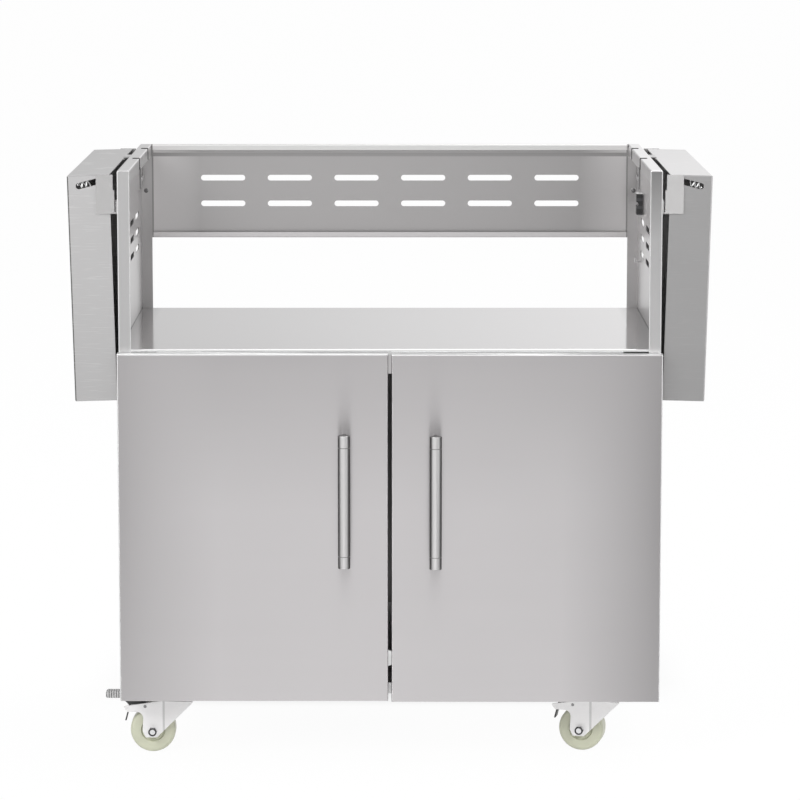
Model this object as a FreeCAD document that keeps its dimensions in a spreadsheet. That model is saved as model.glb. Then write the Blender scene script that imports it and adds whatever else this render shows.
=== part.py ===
import FreeCAD, Part
import math
import os
import Sketcher

# Stainless cart for a drop-in grill head: an open bay over a flat deck, a two-door cabinet, two
# fold-down side shelves and four swivel casters. X runs along the front, Y to the back, Z up, and
# the origin lies on the floor under the middle of the whole cart. Both shelves hang folded.

Vector = FreeCAD.Vector
doc = FreeCAD.newDocument("grill_cart")

# Driving dimensions: alias, value in millimetres or degrees, what it is
SIZES = [
    ("width", 880, "between the outer faces of the side panels"),
    ("depth", 560, "front posts to the back of the rear panels"),
    ("rim_height", 973, "floor to the top of the rim"),
    ("base_height", 111, "floor to the underside of the cabinet"),
    ("deck_height", 683, "floor to the top of the deck"),
    ("sheet", 1.5, "carcass sheet"),
    ("bend", 2, "outer radius of the carcass folds"),
    ("deck_bend", 3, "outer radius of the deck's folds"),
    ("edge_round", 1.2, "rounded free edges of the front flanges"),
    ("flange", 20, "front, rear and rim flanges of the side panels"),
    ("rim_lip", 20, "down-turned lip of the rim flange"),
    ("relief_width", 20, "relief notch in the rim flange"),
    ("relief_reach", 12, "relief notch across the rim flange"),
    ("relief_first", 248, "front to the first relief notch"),
    ("relief_second", 461, "front to the second relief notch"),
    ("slot_length", 78, "vent slot, end to end"),
    ("slot_width", 10, "vent slot"),
    ("vent_height", 164, "slotted rear panel"),
    ("vent_fold", 14, "forward folds of the rear panels"),
    ("vent_lip", 9.5, "lips along the folds of the slotted rear panel"),
    ("vent_lean", 0.7, "how far those lips lean towards the light"),
    ("vent_pitch", 117.7, "between the vent columns of the rear panel"),
    ("vent_row", 59.3, "rim to the upper vent row of the rear panel"),
    ("vent_row_pitch", 45.4, "between the vent rows of the rear panel"),
    ("side_slot_first", 68, "front to the first side vent column"),
    ("side_slot_pitch", 124, "between the side vent columns"),
    ("side_row", 115, "rim to the upper vent row of the left side"),
    ("side_row_pitch", 28.5, "between the vent rows of the sides"),
    ("side_row_drop", 12, "how much lower the vents of the right side are"),
    ("deck_front_lip", 40, "front lip of the deck"),
    ("deck_rear_lip", 20, "rear lip of the deck"),
    ("base_lip", 19, "front and rear lips of the cabinet floor"),
    ("tank_hole", 235, "gas-bottle hole in the cabinet floor"),
    ("tank_side", 101, "middle of the cart to the centre of the hole"),
    ("tank_back", 268, "front to the centre of the hole"),
    ("seam_gap", 1, "open seams between neighbouring sheets"),
    ("rivet", 4, "rivet shank"),
    ("rivet_head", 8, "rivet head"),
    ("rivet_rise", 1.2, "height of a rivet head"),
    ("rivet_inset", 25, "end of a rear panel to its first rivet"),
    ("drill_play", 0.05, "clearance round rivets, bolts and screws"),
    ("fit", 0.05, "radial clearance of running fits"),
    ("rest_gap", 0.3, "gap between a moving piece and what it rests on"),
    ("door_under", 6.1, "how far a door reaches below the cabinet"),
    ("door_depth", 22, "door thickness over all"),
    ("door_gap", 4, "front posts to the back of the doors"),
    ("door_overhang", 1.5, "how far a door passes the side panel"),
    ("door_drop", 4.7, "deck to the top of the doors"),
    ("door_sag", 1.5, "how much lower the right door hangs"),
    ("centre_gap", 5.6, "between the two doors"),
    ("door_sheet", 1.5, "door sheet"),
    ("door_bend", 2, "outer radius of the door's folds"),
    ("pivot_inset", 8, "outer edge of a door to its pivot"),
    ("pivot_back", 11, "back of a door to its pivot"),
    ("hinge_pin", 6, "door pivot pin"),
    ("lug_sheet", 8, "height of a door pivot lug"),
    ("lug_half", 5.5, "half the width of a pivot lug"),
    ("lug_gap", 0.4, "lug to the door flange that turns on it"),
    ("lug_room", 2.2, "free height under a lug in the door's notch"),
    ("handle_bar", 20, "handle diameter"),
    ("handle_length", 218, "handle over its ends"),
    ("handle_inset", 71.2, "free edge of a door to the handle"),
    ("handle_drop", 127.1, "top of a door to the top of the handle"),
    ("handle_standoff", 35, "door face to the middle of the handle"),
    ("handle_end", 20, "end pieces of the handle"),
    ("handle_stem", 14, "stem that holds the handle off the door"),
    ("handle_wall", 2.4, "handle tube wall"),
    ("spigot", 12, "how far an end piece reaches into the tube"),
    ("handle_round", 1.2, "rounding of the handle ends"),
    ("handle_seam", 0.5, "rounding of the seams between handle and end pieces"),
    ("screw", 5, "handle screws and bracket bolts"),
    ("screw_grip", 14, "how far a handle screw enters its stem"),
    ("screw_head", 9, "head of a handle screw or bracket bolt"),
    ("screw_rise", 2.6, "height of a screw or bolt head"),
    ("magnet_length", 30, "door magnet and strike plate"),
    ("magnet_height", 12, "door magnet and strike plate"),
    ("magnet_inset", 20, "middle of the cart to a door magnet"),
    ("strike_sheet", 1.2, "strike plate"),
    ("bumper", 12, "door bumper"),
    ("bumper_inset", 35, "middle of the cart to a door bumper"),
    ("shelf_length", 368, "side shelf, from the cart outwards when raised"),
    ("shelf_skirt", 68.5, "skirt depth of a shelf"),
    ("shelf_sheet", 1.5, "shelf sheet"),
    ("shelf_bend", 2.5, "outer radius of the shelf's folds"),
    ("shelf_front", 10, "front posts to the shelf"),
    ("shelf_rear", 15, "back of the cart to the shelf"),
    ("shelf_tilt", 1.45, "lean of a folded shelf towards the cart, in degrees"),
    ("rod_out", 30, "side panel to the shelf rod"),
    ("rod_below", 17.4, "rim to the shelf rod"),
    ("rod_from_face", 51.2, "table face to the rod of a folded shelf"),
    ("rod_from_top", 9.8, "upper edge to the rod of a folded shelf"),
    ("shelf_slot", 10, "slot in the skirts that runs on the rod"),
    ("shelf_travel", 22, "how far a shelf drops along its slots"),
    ("slot_spare", 11, "slot beyond the travel"),
    ("slot_rise", 13.3, "slope of the slots, in degrees"),
    ("journal", 6, "ends of the rod"),
    ("bush_wall", 2, "shelf bush"),
    ("bush_length", 2, "shelf bush"),
    ("bush_gap", 0.5, "bush to the shelf skirt"),
    ("cheek_sheet", 2.5, "shelf bracket"),
    ("cheek_reach", 34, "side panel to the outer edge of a bracket cheek"),
    ("cheek_gap", 4.5, "side panel to the inner edge of a bracket cheek"),
    ("cheek_notch", 2.5, "step in the inner edge of a cheek"),
    ("cheek_notch_height", 25, "height of that step"),
    ("cheek_drop", 7, "rim to the top of a cheek"),
    ("cheek_height", 63, "bracket cheek"),
    ("foot_width", 36, "bracket foot along the side panel"),
    ("foot_height", 22, "bracket foot up the side panel"),
    ("foot_web", 10, "how far the foot's web reaches out to the cheek"),
    ("foot_bolt", 13, "between the edge of a foot and its bolts"),
    ("backing_sheet", 2, "plate inside the panel behind a bracket foot"),
    ("backing_height", 36, "plate inside the panel behind a bracket foot"),
    ("tab_reach", 11, "rim tab beside a shelf"),
    ("tab_lip", 5, "down-turned end of a rim tab"),
    ("tab_start", 300, "front to a rim tab"),
    ("tab_length", 50, "rim tab along the side"),
    ("pad_across", 16, "shelf bumper"),
    ("pad_inset", 120, "ends of a shelf to its bumpers"),
    ("clip_back", 450, "front to the hose clip"),
    ("clip_below", 95, "rim to the middle of the hose clip"),
    ("clip_height", 38, "hose clip"),
    ("clip_length", 22, "hose clip along the side"),
    ("clip_reach", 11, "hose clip off the side"),
    ("hose_channel", 7, "channel of the hose clip"),
    ("clip_round", 2, "rounding of the hose clip"),
    ("hook_back", 470, "front to the hose hook"),
    ("hook_above", 90.5, "deck to the hose hook"),
    ("hook_length", 14, "hose hook along the side"),
    ("hook_height", 16, "base of the hose hook"),
    ("hook_tip", 7, "upturned end of the hose hook"),
    ("caster_side", 357, "middle of the cart to a swivel axis"),
    ("caster_inset", 70, "front or back of the cart to a swivel axis"),
    ("caster_turn", 14, "how far the right front caster stands turned, in degrees"),
    ("trail", 36.6, "swivel axis to the axle"),
    ("wheel", 75, "wheel diameter"),
    ("tread", 32, "wheel width at the tread"),
    ("hub_length", 40, "wheel width at the hub"),
    ("hub", 25, "hub diameter"),
    ("web", 25, "wheel web thickness"),
    ("wheel_recess", 40, "outer diameter of the recess in a wheel's faces"),
    ("shoulder", 6, "rounding of the tread"),
    ("axle", 8, "axle and caster bolts"),
    ("hex", 13, "across the flats of nuts and bolt heads"),
    ("nut", 6.5, "nut height"),
    ("nut_collar", 4, "collar of the axle's lock nut"),
    ("plate_length", 92, "caster plate along the cart"),
    ("plate_width", 66, "caster plate from front to back"),
    ("plate_sheet", 3, "caster plate"),
    ("plate_corner", 7, "corner radius of a caster plate"),
    ("bolt_pitch_x", 72, "between caster bolts along the cart"),
    ("bolt_pitch_y", 46, "between caster bolts from front to back"),
    ("bolt_head", 5, "head of a caster bolt"),
    ("race", 56, "swivel race diameter"),
    ("race_height", 19.5, "double swivel race"),
    ("king_pin", 12, "king pin"),
    ("king_head", 24, "riveted end of the king pin"),
    ("king_head_height", 3, "riveted end of the king pin"),
    ("fork_gap", 0.4, "play of the fork between race and king pin head"),
    ("fork_sheet", 2.5, "fork sheet"),
    ("fork_inside", 42, "between the fork legs"),
    ("fork_tail", 84, "swivel axis to the brake end of the fork"),
    ("fork_nose", 30, "swivel axis to the other end of the fork"),
    ("fork_crease", 19, "swivel axis to the crease of the legs"),
    ("fork_flare", 6, "how far the legs flare outwards past the crease"),
    ("fork_mouth", 22, "swivel axis to the end of the fork's top, open for the brake"),
    ("tail_drop", 10.5, "fork top to the shoulder of its tail"),
    ("tail_under", 18.3, "fork top to the underside of its tail"),
    ("tail_slope", 9, "how far the upper edges of the legs fall towards the tail"),
    ("tail_taper", 5, "slope of the tail's end"),
    ("leg_back", 15, "axle to the straight edge of a leg"),
    ("leg_lean", 2, "how far a leg widens towards its lug"),
    ("lug_below", 11, "axle to the bottom of a leg"),
    ("lug_back", 12, "axle to the bottom corner on the straight side"),
    ("lug_front", 7, "axle to the bottom corner on the sloping side"),
    ("nose_drop", 1.5, "fork top to the start of the sloping edge"),
    ("arch", 11, "radius of the arch over the wheel"),
    ("pedal_pin", 5, "brake pedal pin"),
    ("pedal_pin_back", 49, "swivel axis to the pedal pin"),
    ("pedal_pin_height", 79, "floor to the pedal pin"),
    ("pedal_width", 18, "brake pedal"),
    ("pedal_boss", 3.4, "pedal wall radius round the pin"),
    ("pedal_end", 115, "swivel axis to the end of the pedal"),
    ("pedal_pad", 26, "length of the ribbed pad"),
    ("pedal_low", 90, "floor to the underside of the pad"),
    ("pedal_high", 101.5, "floor to the top of the pad"),
    ("pedal_arm", 5.5, "thickness of the pedal arm"),
    ("tongue_sheet", 2.4, "brake tongue"),
    ("tongue_top", 74, "swivel axis to the top of the tongue"),
    ("tongue_tip", 81, "swivel axis to the tip of the tongue"),
    ("tongue_low", 52, "floor to the tip of the tongue"),
    ("rib", 1.4, "grooves in the pedal pad"),
    ("rib_pitch", 4, "between the grooves of the pedal pad"),
]


class Size:
    """A length or angle that keeps its value and the spreadsheet formula behind it."""

    def __init__(self, value, text):
        self.value = value
        self.text = text

    def joined(self, sign, other, value):
        return Size(value, f"({self.text} {sign} {other.text})")

    def __add__(self, other):
        other = size(other)
        return self.joined("+", other, self.value + other.value)

    def __sub__(self, other):
        other = size(other)
        return self.joined("-", other, self.value - other.value)

    def __mul__(self, other):
        other = size(other)
        return self.joined("*", other, self.value * other.value)

    def __truediv__(self, other):
        other = size(other)
        return self.joined("/", other, self.value / other.value)

    def __neg__(self):
        return self * -1

    def __radd__(self, other):
        return size(other) + self

    def __rsub__(self, other):
        return size(other) - self

    def __rmul__(self, other):
        return size(other) * self


def size(number):
    """A plain number as a Size; a Size stays as it is."""
    return number if isinstance(number, Size) else Size(float(number), f"({number})")


def cosine(angle):
    return Size(math.cos(math.radians(angle.value)), f"cos({angle.text})")


def sine(angle):
    return Size(math.sin(math.radians(angle.value)), f"sin({angle.text})")


class Sizes:
    """The driving dimensions, one attribute for each alias of the spreadsheet."""

    def __init__(self):
        sheet = doc.addObject("Spreadsheet::Sheet", "Sizes")
        for row, (alias, value, words) in enumerate(SIZES, start=1):
            sheet.set(f"A{row}", words)
            sheet.set(f"B{row}", str(value))
            sheet.setAlias(f"B{row}", alias)
            setattr(self, alias, Size(float(value), f"Sizes.{alias}"))
        doc.recompute()


s = Sizes()

# Planes that many pieces share
reach = s.door_gap + s.door_depth + s.handle_standoff + s.handle_bar / 2
front = (reach - s.depth) / 2
back = front + s.depth
half = s.width / 2
door_back = front - s.door_gap
door_face = door_back - s.door_depth
door_top = s.deck_height - s.door_drop
door_bottom = s.base_height - s.door_under
door_outer = half + s.door_overhang
door_inner = s.centre_gap / 2
pivot_x = door_outer - s.pivot_inset
pivot_y = door_back - s.pivot_back
handle_x = door_inner + s.handle_inset
handle_y = door_face - s.handle_standoff
handle_top = door_top - s.handle_drop
handle_bottom = handle_top - s.handle_length
rod_x = half + s.rod_out
rod_z = s.rim_height - s.rod_below
shelf_near = front + s.shelf_front
shelf_far = back - s.shelf_rear
cheek_near = shelf_near - s.bush_gap - s.bush_length - s.cheek_sheet
cheek_far = shelf_far + s.bush_gap + s.bush_length + s.cheek_sheet
cheek_top = s.rim_height - s.cheek_drop
cheek_bottom = cheek_top - s.cheek_height
foot_bolt_z = cheek_bottom + s.foot_bolt
plate_under = s.base_height - s.plate_sheet
fork_top = plate_under - s.race_height - s.fork_gap
fork_under = fork_top - s.fork_sheet
axle_z = s.wheel / 2
fork_outside = s.fork_inside + s.fork_sheet * 2
rivet_x = half - s.flange / 2
back_panel_top = s.deck_height - s.deck_rear_lip - s.seam_gap
LEFT, RIGHT = -1, 1
SIDES = {"left": LEFT, "right": RIGHT}
CORNERS = {
    "fl": (LEFT, front + s.caster_inset),
    "fr": (RIGHT, front + s.caster_inset),
    "rl": (LEFT, back - s.caster_inset),
    "rr": (RIGHT, back - s.caster_inset),
}

nodes = {}


# Helpers

def bind(thing, path, length):
    """Ties a property to the spreadsheet."""
    thing.setExpression(path, size(length).text)


def new_body(name):
    body = doc.addObject("PartDesign::Body", name)
    body.Label = name
    return body


def new_sketch(body, plane, level=0):
    """A sketch on one of the body's own planes, moved to a level along X, Y or Z."""
    role = f"{plane}_Plane"
    base = [feature for feature in body.Origin.OriginFeatures if feature.Role == role][0]
    sketch = body.newObject("Sketcher::SketchObject", f"{plane}_sketch")
    sketch.AttachmentSupport = [(base, "")]
    sketch.MapMode = "FlatFace"
    bind(sketch, "AttachmentOffset.Base.z", -size(level) if plane == "XZ" else level)
    return sketch


def faces_front(sketch):
    """A sketch on the XZ plane looks towards -Y, so its pads are turned round."""
    return sketch.AttachmentSupport[0][0].Role == "XZ_Plane"


def hold(sketch, kind, edge, point, length):
    """Holds one point of an edge at a distance from the sketch's origin."""
    row = sketch.addConstraint(Sketcher.Constraint(kind, -1, 1, edge, point, length.value))
    bind(sketch, f"Constraints[{row}]", length)


def hold_point(sketch, edge, point, place):
    hold(sketch, "DistanceX", edge, point, place[0])
    hold(sketch, "DistanceY", edge, point, place[1])


def hold_radius(sketch, edge, radius):
    row = sketch.addConstraint(Sketcher.Constraint("Radius", edge, radius.value))
    bind(sketch, f"Constraints[{row}]", radius)


def sized(corners):
    return [(size(across), size(along)) for across, along in corners]


def outline(sketch, corners):
    """A closed outline of straight edges, each corner held to the sizes."""
    places = sized(corners)
    points = [Vector(across.value, along.value, 0) for across, along in places]
    edges = []
    for start, end in zip(points, points[1:] + points[:1]):
        edges.append(sketch.addGeometry(Part.LineSegment(start, end), False))
    for edge, following in zip(edges, edges[1:] + edges[:1]):
        sketch.addConstraint(Sketcher.Constraint("Coincident", edge, 2, following, 1))
    for edge, place in zip(edges, places):
        hold_point(sketch, edge, 1, place)


def rectangle(sketch, low, high):
    (x0, y0), (x1, y1) = low, high
    outline(sketch, [(x0, y0), (x1, y0), (x1, y1), (x0, y1)])


def circle(sketch, centre, radius):
    place = sized([centre])[0]
    radius = size(radius)
    middle = Vector(place[0].value, place[1].value, 0)
    edge = sketch.addGeometry(Part.Circle(middle, Vector(0, 0, 1), radius.value), False)
    hold_point(sketch, edge, 3, place)
    hold_radius(sketch, edge, radius)


def oblong(sketch, first, second, radius):
    """A slot with round ends between two centres: two arcs and the two lines tangent to both."""
    places = sized([first, second])
    radius = size(radius)
    a, b = [Vector(across.value, along.value, 0) for across, along in places]
    ahead = math.atan2(b.y - a.y, b.x - a.x)
    side = Vector(-math.sin(ahead), math.cos(ahead), 0) * radius.value
    normal = Vector(0, 0, 1)
    quarter = math.pi / 2
    start_arc = Part.ArcOfCircle(Part.Circle(a, normal, radius.value), ahead + quarter, ahead + 3 * quarter)
    end_arc = Part.ArcOfCircle(Part.Circle(b, normal, radius.value), ahead - quarter, ahead + quarter)
    near = sketch.addGeometry(start_arc, False)
    low = sketch.addGeometry(Part.LineSegment(a - side, b - side), False)
    far = sketch.addGeometry(end_arc, False)
    high = sketch.addGeometry(Part.LineSegment(b + side, a + side), False)
    for edge, following in ((near, low), (low, far), (far, high), (high, near)):
        sketch.addConstraint(Sketcher.Constraint("Tangent", edge, 2, following, 1))
    hold_point(sketch, near, 3, places[0])
    hold_point(sketch, far, 3, places[1])
    hold_radius(sketch, near, radius)


def hexagon(sketch, centre, flats):
    """Six corners on a circle whose radius is half the flats over the cosine of 30 degrees."""
    across, along = sized([centre])[0]
    radius = size(flats) / (2 * math.cos(math.pi / 6))
    turns = [math.pi / 3 * corner for corner in range(6)]
    outline(sketch, [(across + radius * math.cos(turn), along + radius * math.sin(turn)) for turn in turns])


def pad(body, sketch, length):
    """Grows the sketch towards +X, +Y or +Z."""
    feature = body.newObject("PartDesign::Pad", "Pad")
    feature.Profile = sketch
    bind(feature, "Length", length)
    feature.Reversed = faces_front(sketch)
    return feature


def cut_through(body, sketch):
    """Cuts the sketch right through the piece, both ways."""
    feature = body.newObject("PartDesign::Pocket", "Cut")
    feature.Profile = sketch
    feature.Type = "ThroughAll"
    feature.SideType = "Symmetric"
    return feature


def cut(body, sketch, depth, towards):
    """Cuts the sketch to a depth; towards is +1 or -1 along the sketch's world axis."""
    feature = body.newObject("PartDesign::Pocket", "Pocket")
    feature.Profile = sketch
    bind(feature, "Length", depth)
    into = 1 if faces_front(sketch) else -1
    feature.Reversed = towards != into
    return feature


def revolve(body, sketch):
    """Turns the sketch once round its own vertical axis."""
    feature = body.newObject("PartDesign::Revolution", "Revolution")
    feature.Profile = sketch
    feature.ReferenceAxis = (sketch, ["V_Axis"])
    feature.Angle = 360
    return feature


def fillet(body, base, radius, wanted):
    """Rounds the edges of a feature for which wanted(edge) is true."""
    doc.recompute()
    names = [f"Edge{i}" for i, edge in enumerate(base.Shape.Edges, start=1) if wanted(edge)]
    feature = body.newObject("PartDesign::Fillet", "Fillet")
    feature.Base = (base, names)
    bind(feature, "Radius", radius)
    return feature


def lies_on(edge, axis, level):
    """True where the whole edge lies at one level along an axis."""
    box = edge.BoundBox
    low, high = getattr(box, f"{axis}Min"), getattr(box, f"{axis}Max")
    return abs(low - level.value) < 1e-4 and abs(high - level.value) < 1e-4


def runs_along(edge, axis):
    """True for a straight edge along X, Y or Z."""
    if edge.Curve.TypeId != "Part::GeomLine":
        return False
    return abs(getattr(edge.Curve.Direction, axis.lower())) > 0.999


def place(thing, x, y, z):
    bind(thing, "Placement.Base.x", x)
    bind(thing, "Placement.Base.y", y)
    bind(thing, "Placement.Base.z", z)


def hang(body, hand):
    """Lets a piece of the right door hang a little lower."""
    if hand == RIGHT:
        place(body, 0, 0, -s.door_sag)


def keep(node, thing):
    """Names a finished sub-part."""
    thing.Label = node
    nodes[node] = thing


def gather(node, bodies):
    """Several separate solids as one sub-part."""
    group = doc.addObject("Part::Compound", node)
    group.Links = bodies
    keep(node, group)


def scatter(node, master, places):
    """Copies of one fastener at several places, as one sub-part."""
    doc.recompute()
    group = doc.addObject("Part::Feature", node)
    copies = []
    for spot in places:
        copy = master.Shape.copy()
        copy.translate(Vector(*[size(value).value for value in spot]))
        copies.append(copy)
    group.Shape = Part.makeCompound(copies)
    keep(node, group)


# Rivets of the carcass, as heights on each flange

FRONT_RIVETS = [s.deck_height - s.deck_front_lip / 2, s.base_height + s.base_lip / 2]
TRAY_RIVETS = [s.deck_height - s.deck_rear_lip / 2, s.base_height + s.base_lip / 2]
VENT_RIVETS = [s.rim_height - s.vent_height / 2]
BACK_RIVETS = [
    s.base_height + s.base_lip + s.rivet_inset,
    (s.base_height + back_panel_top) / 2,
    back_panel_top - s.rivet_inset,
]
rivet_bore = s.rivet / 2 + s.drill_play


def drill_rivets(body, hands, heights, level, depth):
    """Rivet holes along Y in the flanges of the given sides."""
    sketch = new_sketch(body, "XZ", level)
    for hand in hands:
        for height in heights:
            circle(sketch, (rivet_x * hand, height), rivet_bore)
    cut(body, sketch, depth, 1)


def panel_rivets():
    """Domed rivets: the head lies on the front of the nearer sheet, the shank joins two sheets."""
    body = new_body("rivet")
    head = s.rivet_head / 2
    sketch = new_sketch(body, "XY")
    outline(sketch, [
        (0, -s.rivet_rise), (head / 2, -s.rivet_rise), (head, 0),
        (s.rivet / 2, 0), (s.rivet / 2, s.sheet * 2 - s.drill_play), (0, s.sheet * 2 - s.drill_play),
    ])
    revolve(body, sketch)
    spots = []
    for hand in SIDES.values():
        for heights, level in (
            (FRONT_RIVETS, front),
            (TRAY_RIVETS, back - s.sheet * 3),
            (VENT_RIVETS, back - s.sheet * 2),
            (BACK_RIVETS, back - s.sheet * 2),
        ):
            spots += [(rivet_x * hand, level, height) for height in heights]
    scatter("panel_rivets", body, spots)


# Carcass

def side_panel(side, hand):
    """One folded sheet: front, rear and rim flanges turn inwards, the rim flange ends in a lip."""
    body = new_body(f"side_panel_{side}")
    outer, inner, edge = half * hand, (half - s.sheet) * hand, (half - s.flange) * hand
    lip = (half - s.flange + s.sheet) * hand
    rear = back - s.sheet
    section = new_sketch(body, "XY", s.base_height)
    outline(section, [
        (outer, front), (edge, front), (edge, front + s.sheet), (inner, front + s.sheet),
        (inner, rear - s.sheet), (edge, rear - s.sheet), (edge, rear), (outer, rear),
    ])
    pad(body, section, s.rim_height - s.base_height)
    rim = new_sketch(body, "XZ", front)
    top, under = s.rim_height, s.rim_height - s.sheet
    outline(rim, [
        (outer, top), (edge, top), (edge, top - s.rim_lip), (lip, top - s.rim_lip),
        (lip, under), (outer, under),
    ])
    folded = pad(body, rim, rear - front)

    def outer_bend(bend):
        upright = runs_along(bend, "Z") and (lies_on(bend, "Y", front) or lies_on(bend, "Y", rear))
        top_edge = runs_along(bend, "Y") and lies_on(bend, "Z", top)
        return (lies_on(bend, "X", outer) and (upright or top_edge)) or (lies_on(bend, "X", edge) and top_edge)

    bent = fillet(body, folded, s.bend, outer_bend)
    fillet(body, bent, s.edge_round, lambda bend: runs_along(bend, "Z") and lies_on(bend, "X", edge)
           and lies_on(bend, "Y", front))
    reliefs = new_sketch(body, "XY")
    for along in (s.relief_first, s.relief_second):
        low = front + along - s.relief_width / 2
        rectangle(reliefs, (edge - hand, low), (edge + s.relief_reach * hand, low + s.relief_width))
    cut_through(body, reliefs)
    vents = new_sketch(body, "YZ")
    first_row = s.side_row + s.side_row_drop * (1 if hand == RIGHT else 0)
    straight = (s.slot_length - s.slot_width) / 2
    for column in range(4):
        middle = front + s.side_slot_first + s.side_slot_pitch * column
        for row in range(3):
            height = s.rim_height - first_row - s.side_row_pitch * row
            oblong(vents, (middle - straight, height), (middle + straight, height), s.slot_width / 2)
    cut_through(body, vents)
    bolts = new_sketch(body, "YZ")
    for along in foot_bolts():
        circle(bolts, (along, foot_bolt_z), s.screw / 2 + s.drill_play)
    cut_through(body, bolts)
    drill_rivets(body, [hand], FRONT_RIVETS, front - s.sheet, s.sheet * 3)
    drill_rivets(body, [hand], TRAY_RIVETS + VENT_RIVETS + BACK_RIVETS, rear - s.sheet * 2, s.sheet * 3)
    keep(f"side_panel_{side}", body)


def rear_vent_panel():
    """Slotted sheet behind the rear flanges, folded forward along its top and bottom. Each fold ends
    in a lip that leans a little, so that it faces upwards."""
    body = new_body("rear_vent_panel")
    low, high = s.rim_height - s.vent_height, s.rim_height
    wide = half - s.sheet
    plate = new_sketch(body, "YZ", -wide)
    rectangle(plate, (back - s.sheet, low), (back, high))
    pad(body, plate, wide * 2)
    narrow = half - s.flange - s.seam_gap
    nose, inside = back - s.vent_fold, back - s.sheet / 2
    top_lip, low_lip = nose - s.vent_lean, nose + s.vent_lean
    fold = new_sketch(body, "YZ", -narrow)
    outline(fold, [
        (inside, high), (nose, high), (top_lip, high - s.vent_lip), (top_lip + s.sheet, high - s.vent_lip),
        (nose + s.sheet, high - s.sheet), (inside, high - s.sheet),
    ])
    outline(fold, [
        (inside, low), (nose, low), (low_lip, low + s.vent_lip), (low_lip + s.sheet, low + s.vent_lip),
        (nose + s.sheet, low + s.sheet), (inside, low + s.sheet),
    ])
    folded = pad(body, fold, narrow * 2)
    fillet(body, folded, s.bend, lambda bend: runs_along(bend, "X") and lies_on(bend, "Y", nose)
           and (lies_on(bend, "Z", high) or lies_on(bend, "Z", low)))
    vents = new_sketch(body, "XZ")
    straight = (s.slot_length - s.slot_width) / 2
    for column in range(6):
        middle = s.vent_pitch * (column - 2.5)
        for row in range(2):
            height = high - s.vent_row - s.vent_row_pitch * row
            oblong(vents, (middle - straight, height), (middle + straight, height), s.slot_width / 2)
    cut_through(body, vents)
    drill_rivets(body, SIDES.values(), VENT_RIVETS, back - s.sheet * 2, s.sheet * 3)
    keep("rear_vent_panel", body)


def channel(body, level, lips, radius):
    """A flat sheet between the sides whose front and rear edges are folded: lips are the levels of
    the sheet's far face and of the ends of both lips, radius is the outer one of the folds."""
    far, front_end, rear_end = lips
    near_y, far_y = front + s.sheet, back - s.sheet * 2
    section = new_sketch(body, "YZ", s.sheet - half)
    outline(section, [
        (near_y, level), (far_y, level), (far_y, rear_end), (far_y - s.sheet, rear_end),
        (far_y - s.sheet, far), (near_y + s.sheet, far), (near_y + s.sheet, front_end), (near_y, front_end),
    ])
    folded = pad(body, section, s.width - s.sheet * 2)
    rounded = fillet(body, folded, radius, lambda bend: runs_along(bend, "X") and lies_on(bend, "Z", level)
                     and (lies_on(bend, "Y", near_y) or lies_on(bend, "Y", far_y)))
    inner_near, inner_far = near_y + s.sheet, far_y - s.sheet
    fillet(body, rounded, radius - s.sheet, lambda bend: runs_along(bend, "X") and lies_on(bend, "Z", far)
           and (lies_on(bend, "Y", inner_near) or lies_on(bend, "Y", inner_far)))


def deck_panel():
    """Deck with down-turned lips behind the front flanges and before the rear ones."""
    body = new_body("deck_panel")
    top = s.deck_height
    channel(body, top, (top - s.sheet, top - s.deck_front_lip, top - s.deck_rear_lip), s.deck_bend)
    drill_rivets(body, SIDES.values(), FRONT_RIVETS[:1], front, s.sheet * 3)
    drill_rivets(body, SIDES.values(), TRAY_RIVETS[:1], back - s.sheet * 4, s.sheet * 3)
    keep("deck_panel", body)


def bottom_panel():
    """Cabinet floor with upturned lips, the gas-bottle hole and the holes for the caster bolts."""
    body = new_body("bottom_panel")
    under = s.base_height
    lip = under + s.base_lip
    channel(body, under, (under + s.sheet, lip, lip), s.bend)
    holes = new_sketch(body, "XY")
    circle(holes, (-s.tank_side, front + s.tank_back), s.tank_hole / 2)
    for x, y in caster_bolt_places():
        circle(holes, (x, y), s.axle / 2 + s.drill_play)
    cut_through(body, holes)
    drill_rivets(body, SIDES.values(), FRONT_RIVETS[1:], front, s.sheet * 3)
    drill_rivets(body, SIDES.values(), TRAY_RIVETS[1:], back - s.sheet * 4, s.sheet * 3)
    keep("bottom_panel", body)


def lower_back_panel():
    """Closed sheet behind the rear flanges of the cabinet, folded forward along its top."""
    body = new_body("lower_back_panel")
    wide = half - s.sheet
    plate = new_sketch(body, "YZ", -wide)
    rectangle(plate, (back - s.sheet, s.base_height), (back, back_panel_top))
    pad(body, plate, wide * 2)
    narrow = half - s.flange - s.seam_gap
    fold = new_sketch(body, "YZ", -narrow)
    rectangle(fold, (back - s.vent_fold, back_panel_top - s.sheet), (back - s.sheet / 2, back_panel_top))
    pad(body, fold, narrow * 2)
    drill_rivets(body, SIDES.values(), BACK_RIVETS, back - s.sheet * 2, s.sheet * 3)
    keep("lower_back_panel", body)


# Shelf brackets on the sides

def foot_bolts():
    """Where the bolts of the front and rear bracket feet lie along Y."""
    near = [cheek_near + s.foot_bolt, cheek_near + s.foot_width - s.foot_bolt / 2]
    far = [cheek_far - s.foot_bolt, cheek_far - s.foot_width + s.foot_bolt / 2]
    return near + far


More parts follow.
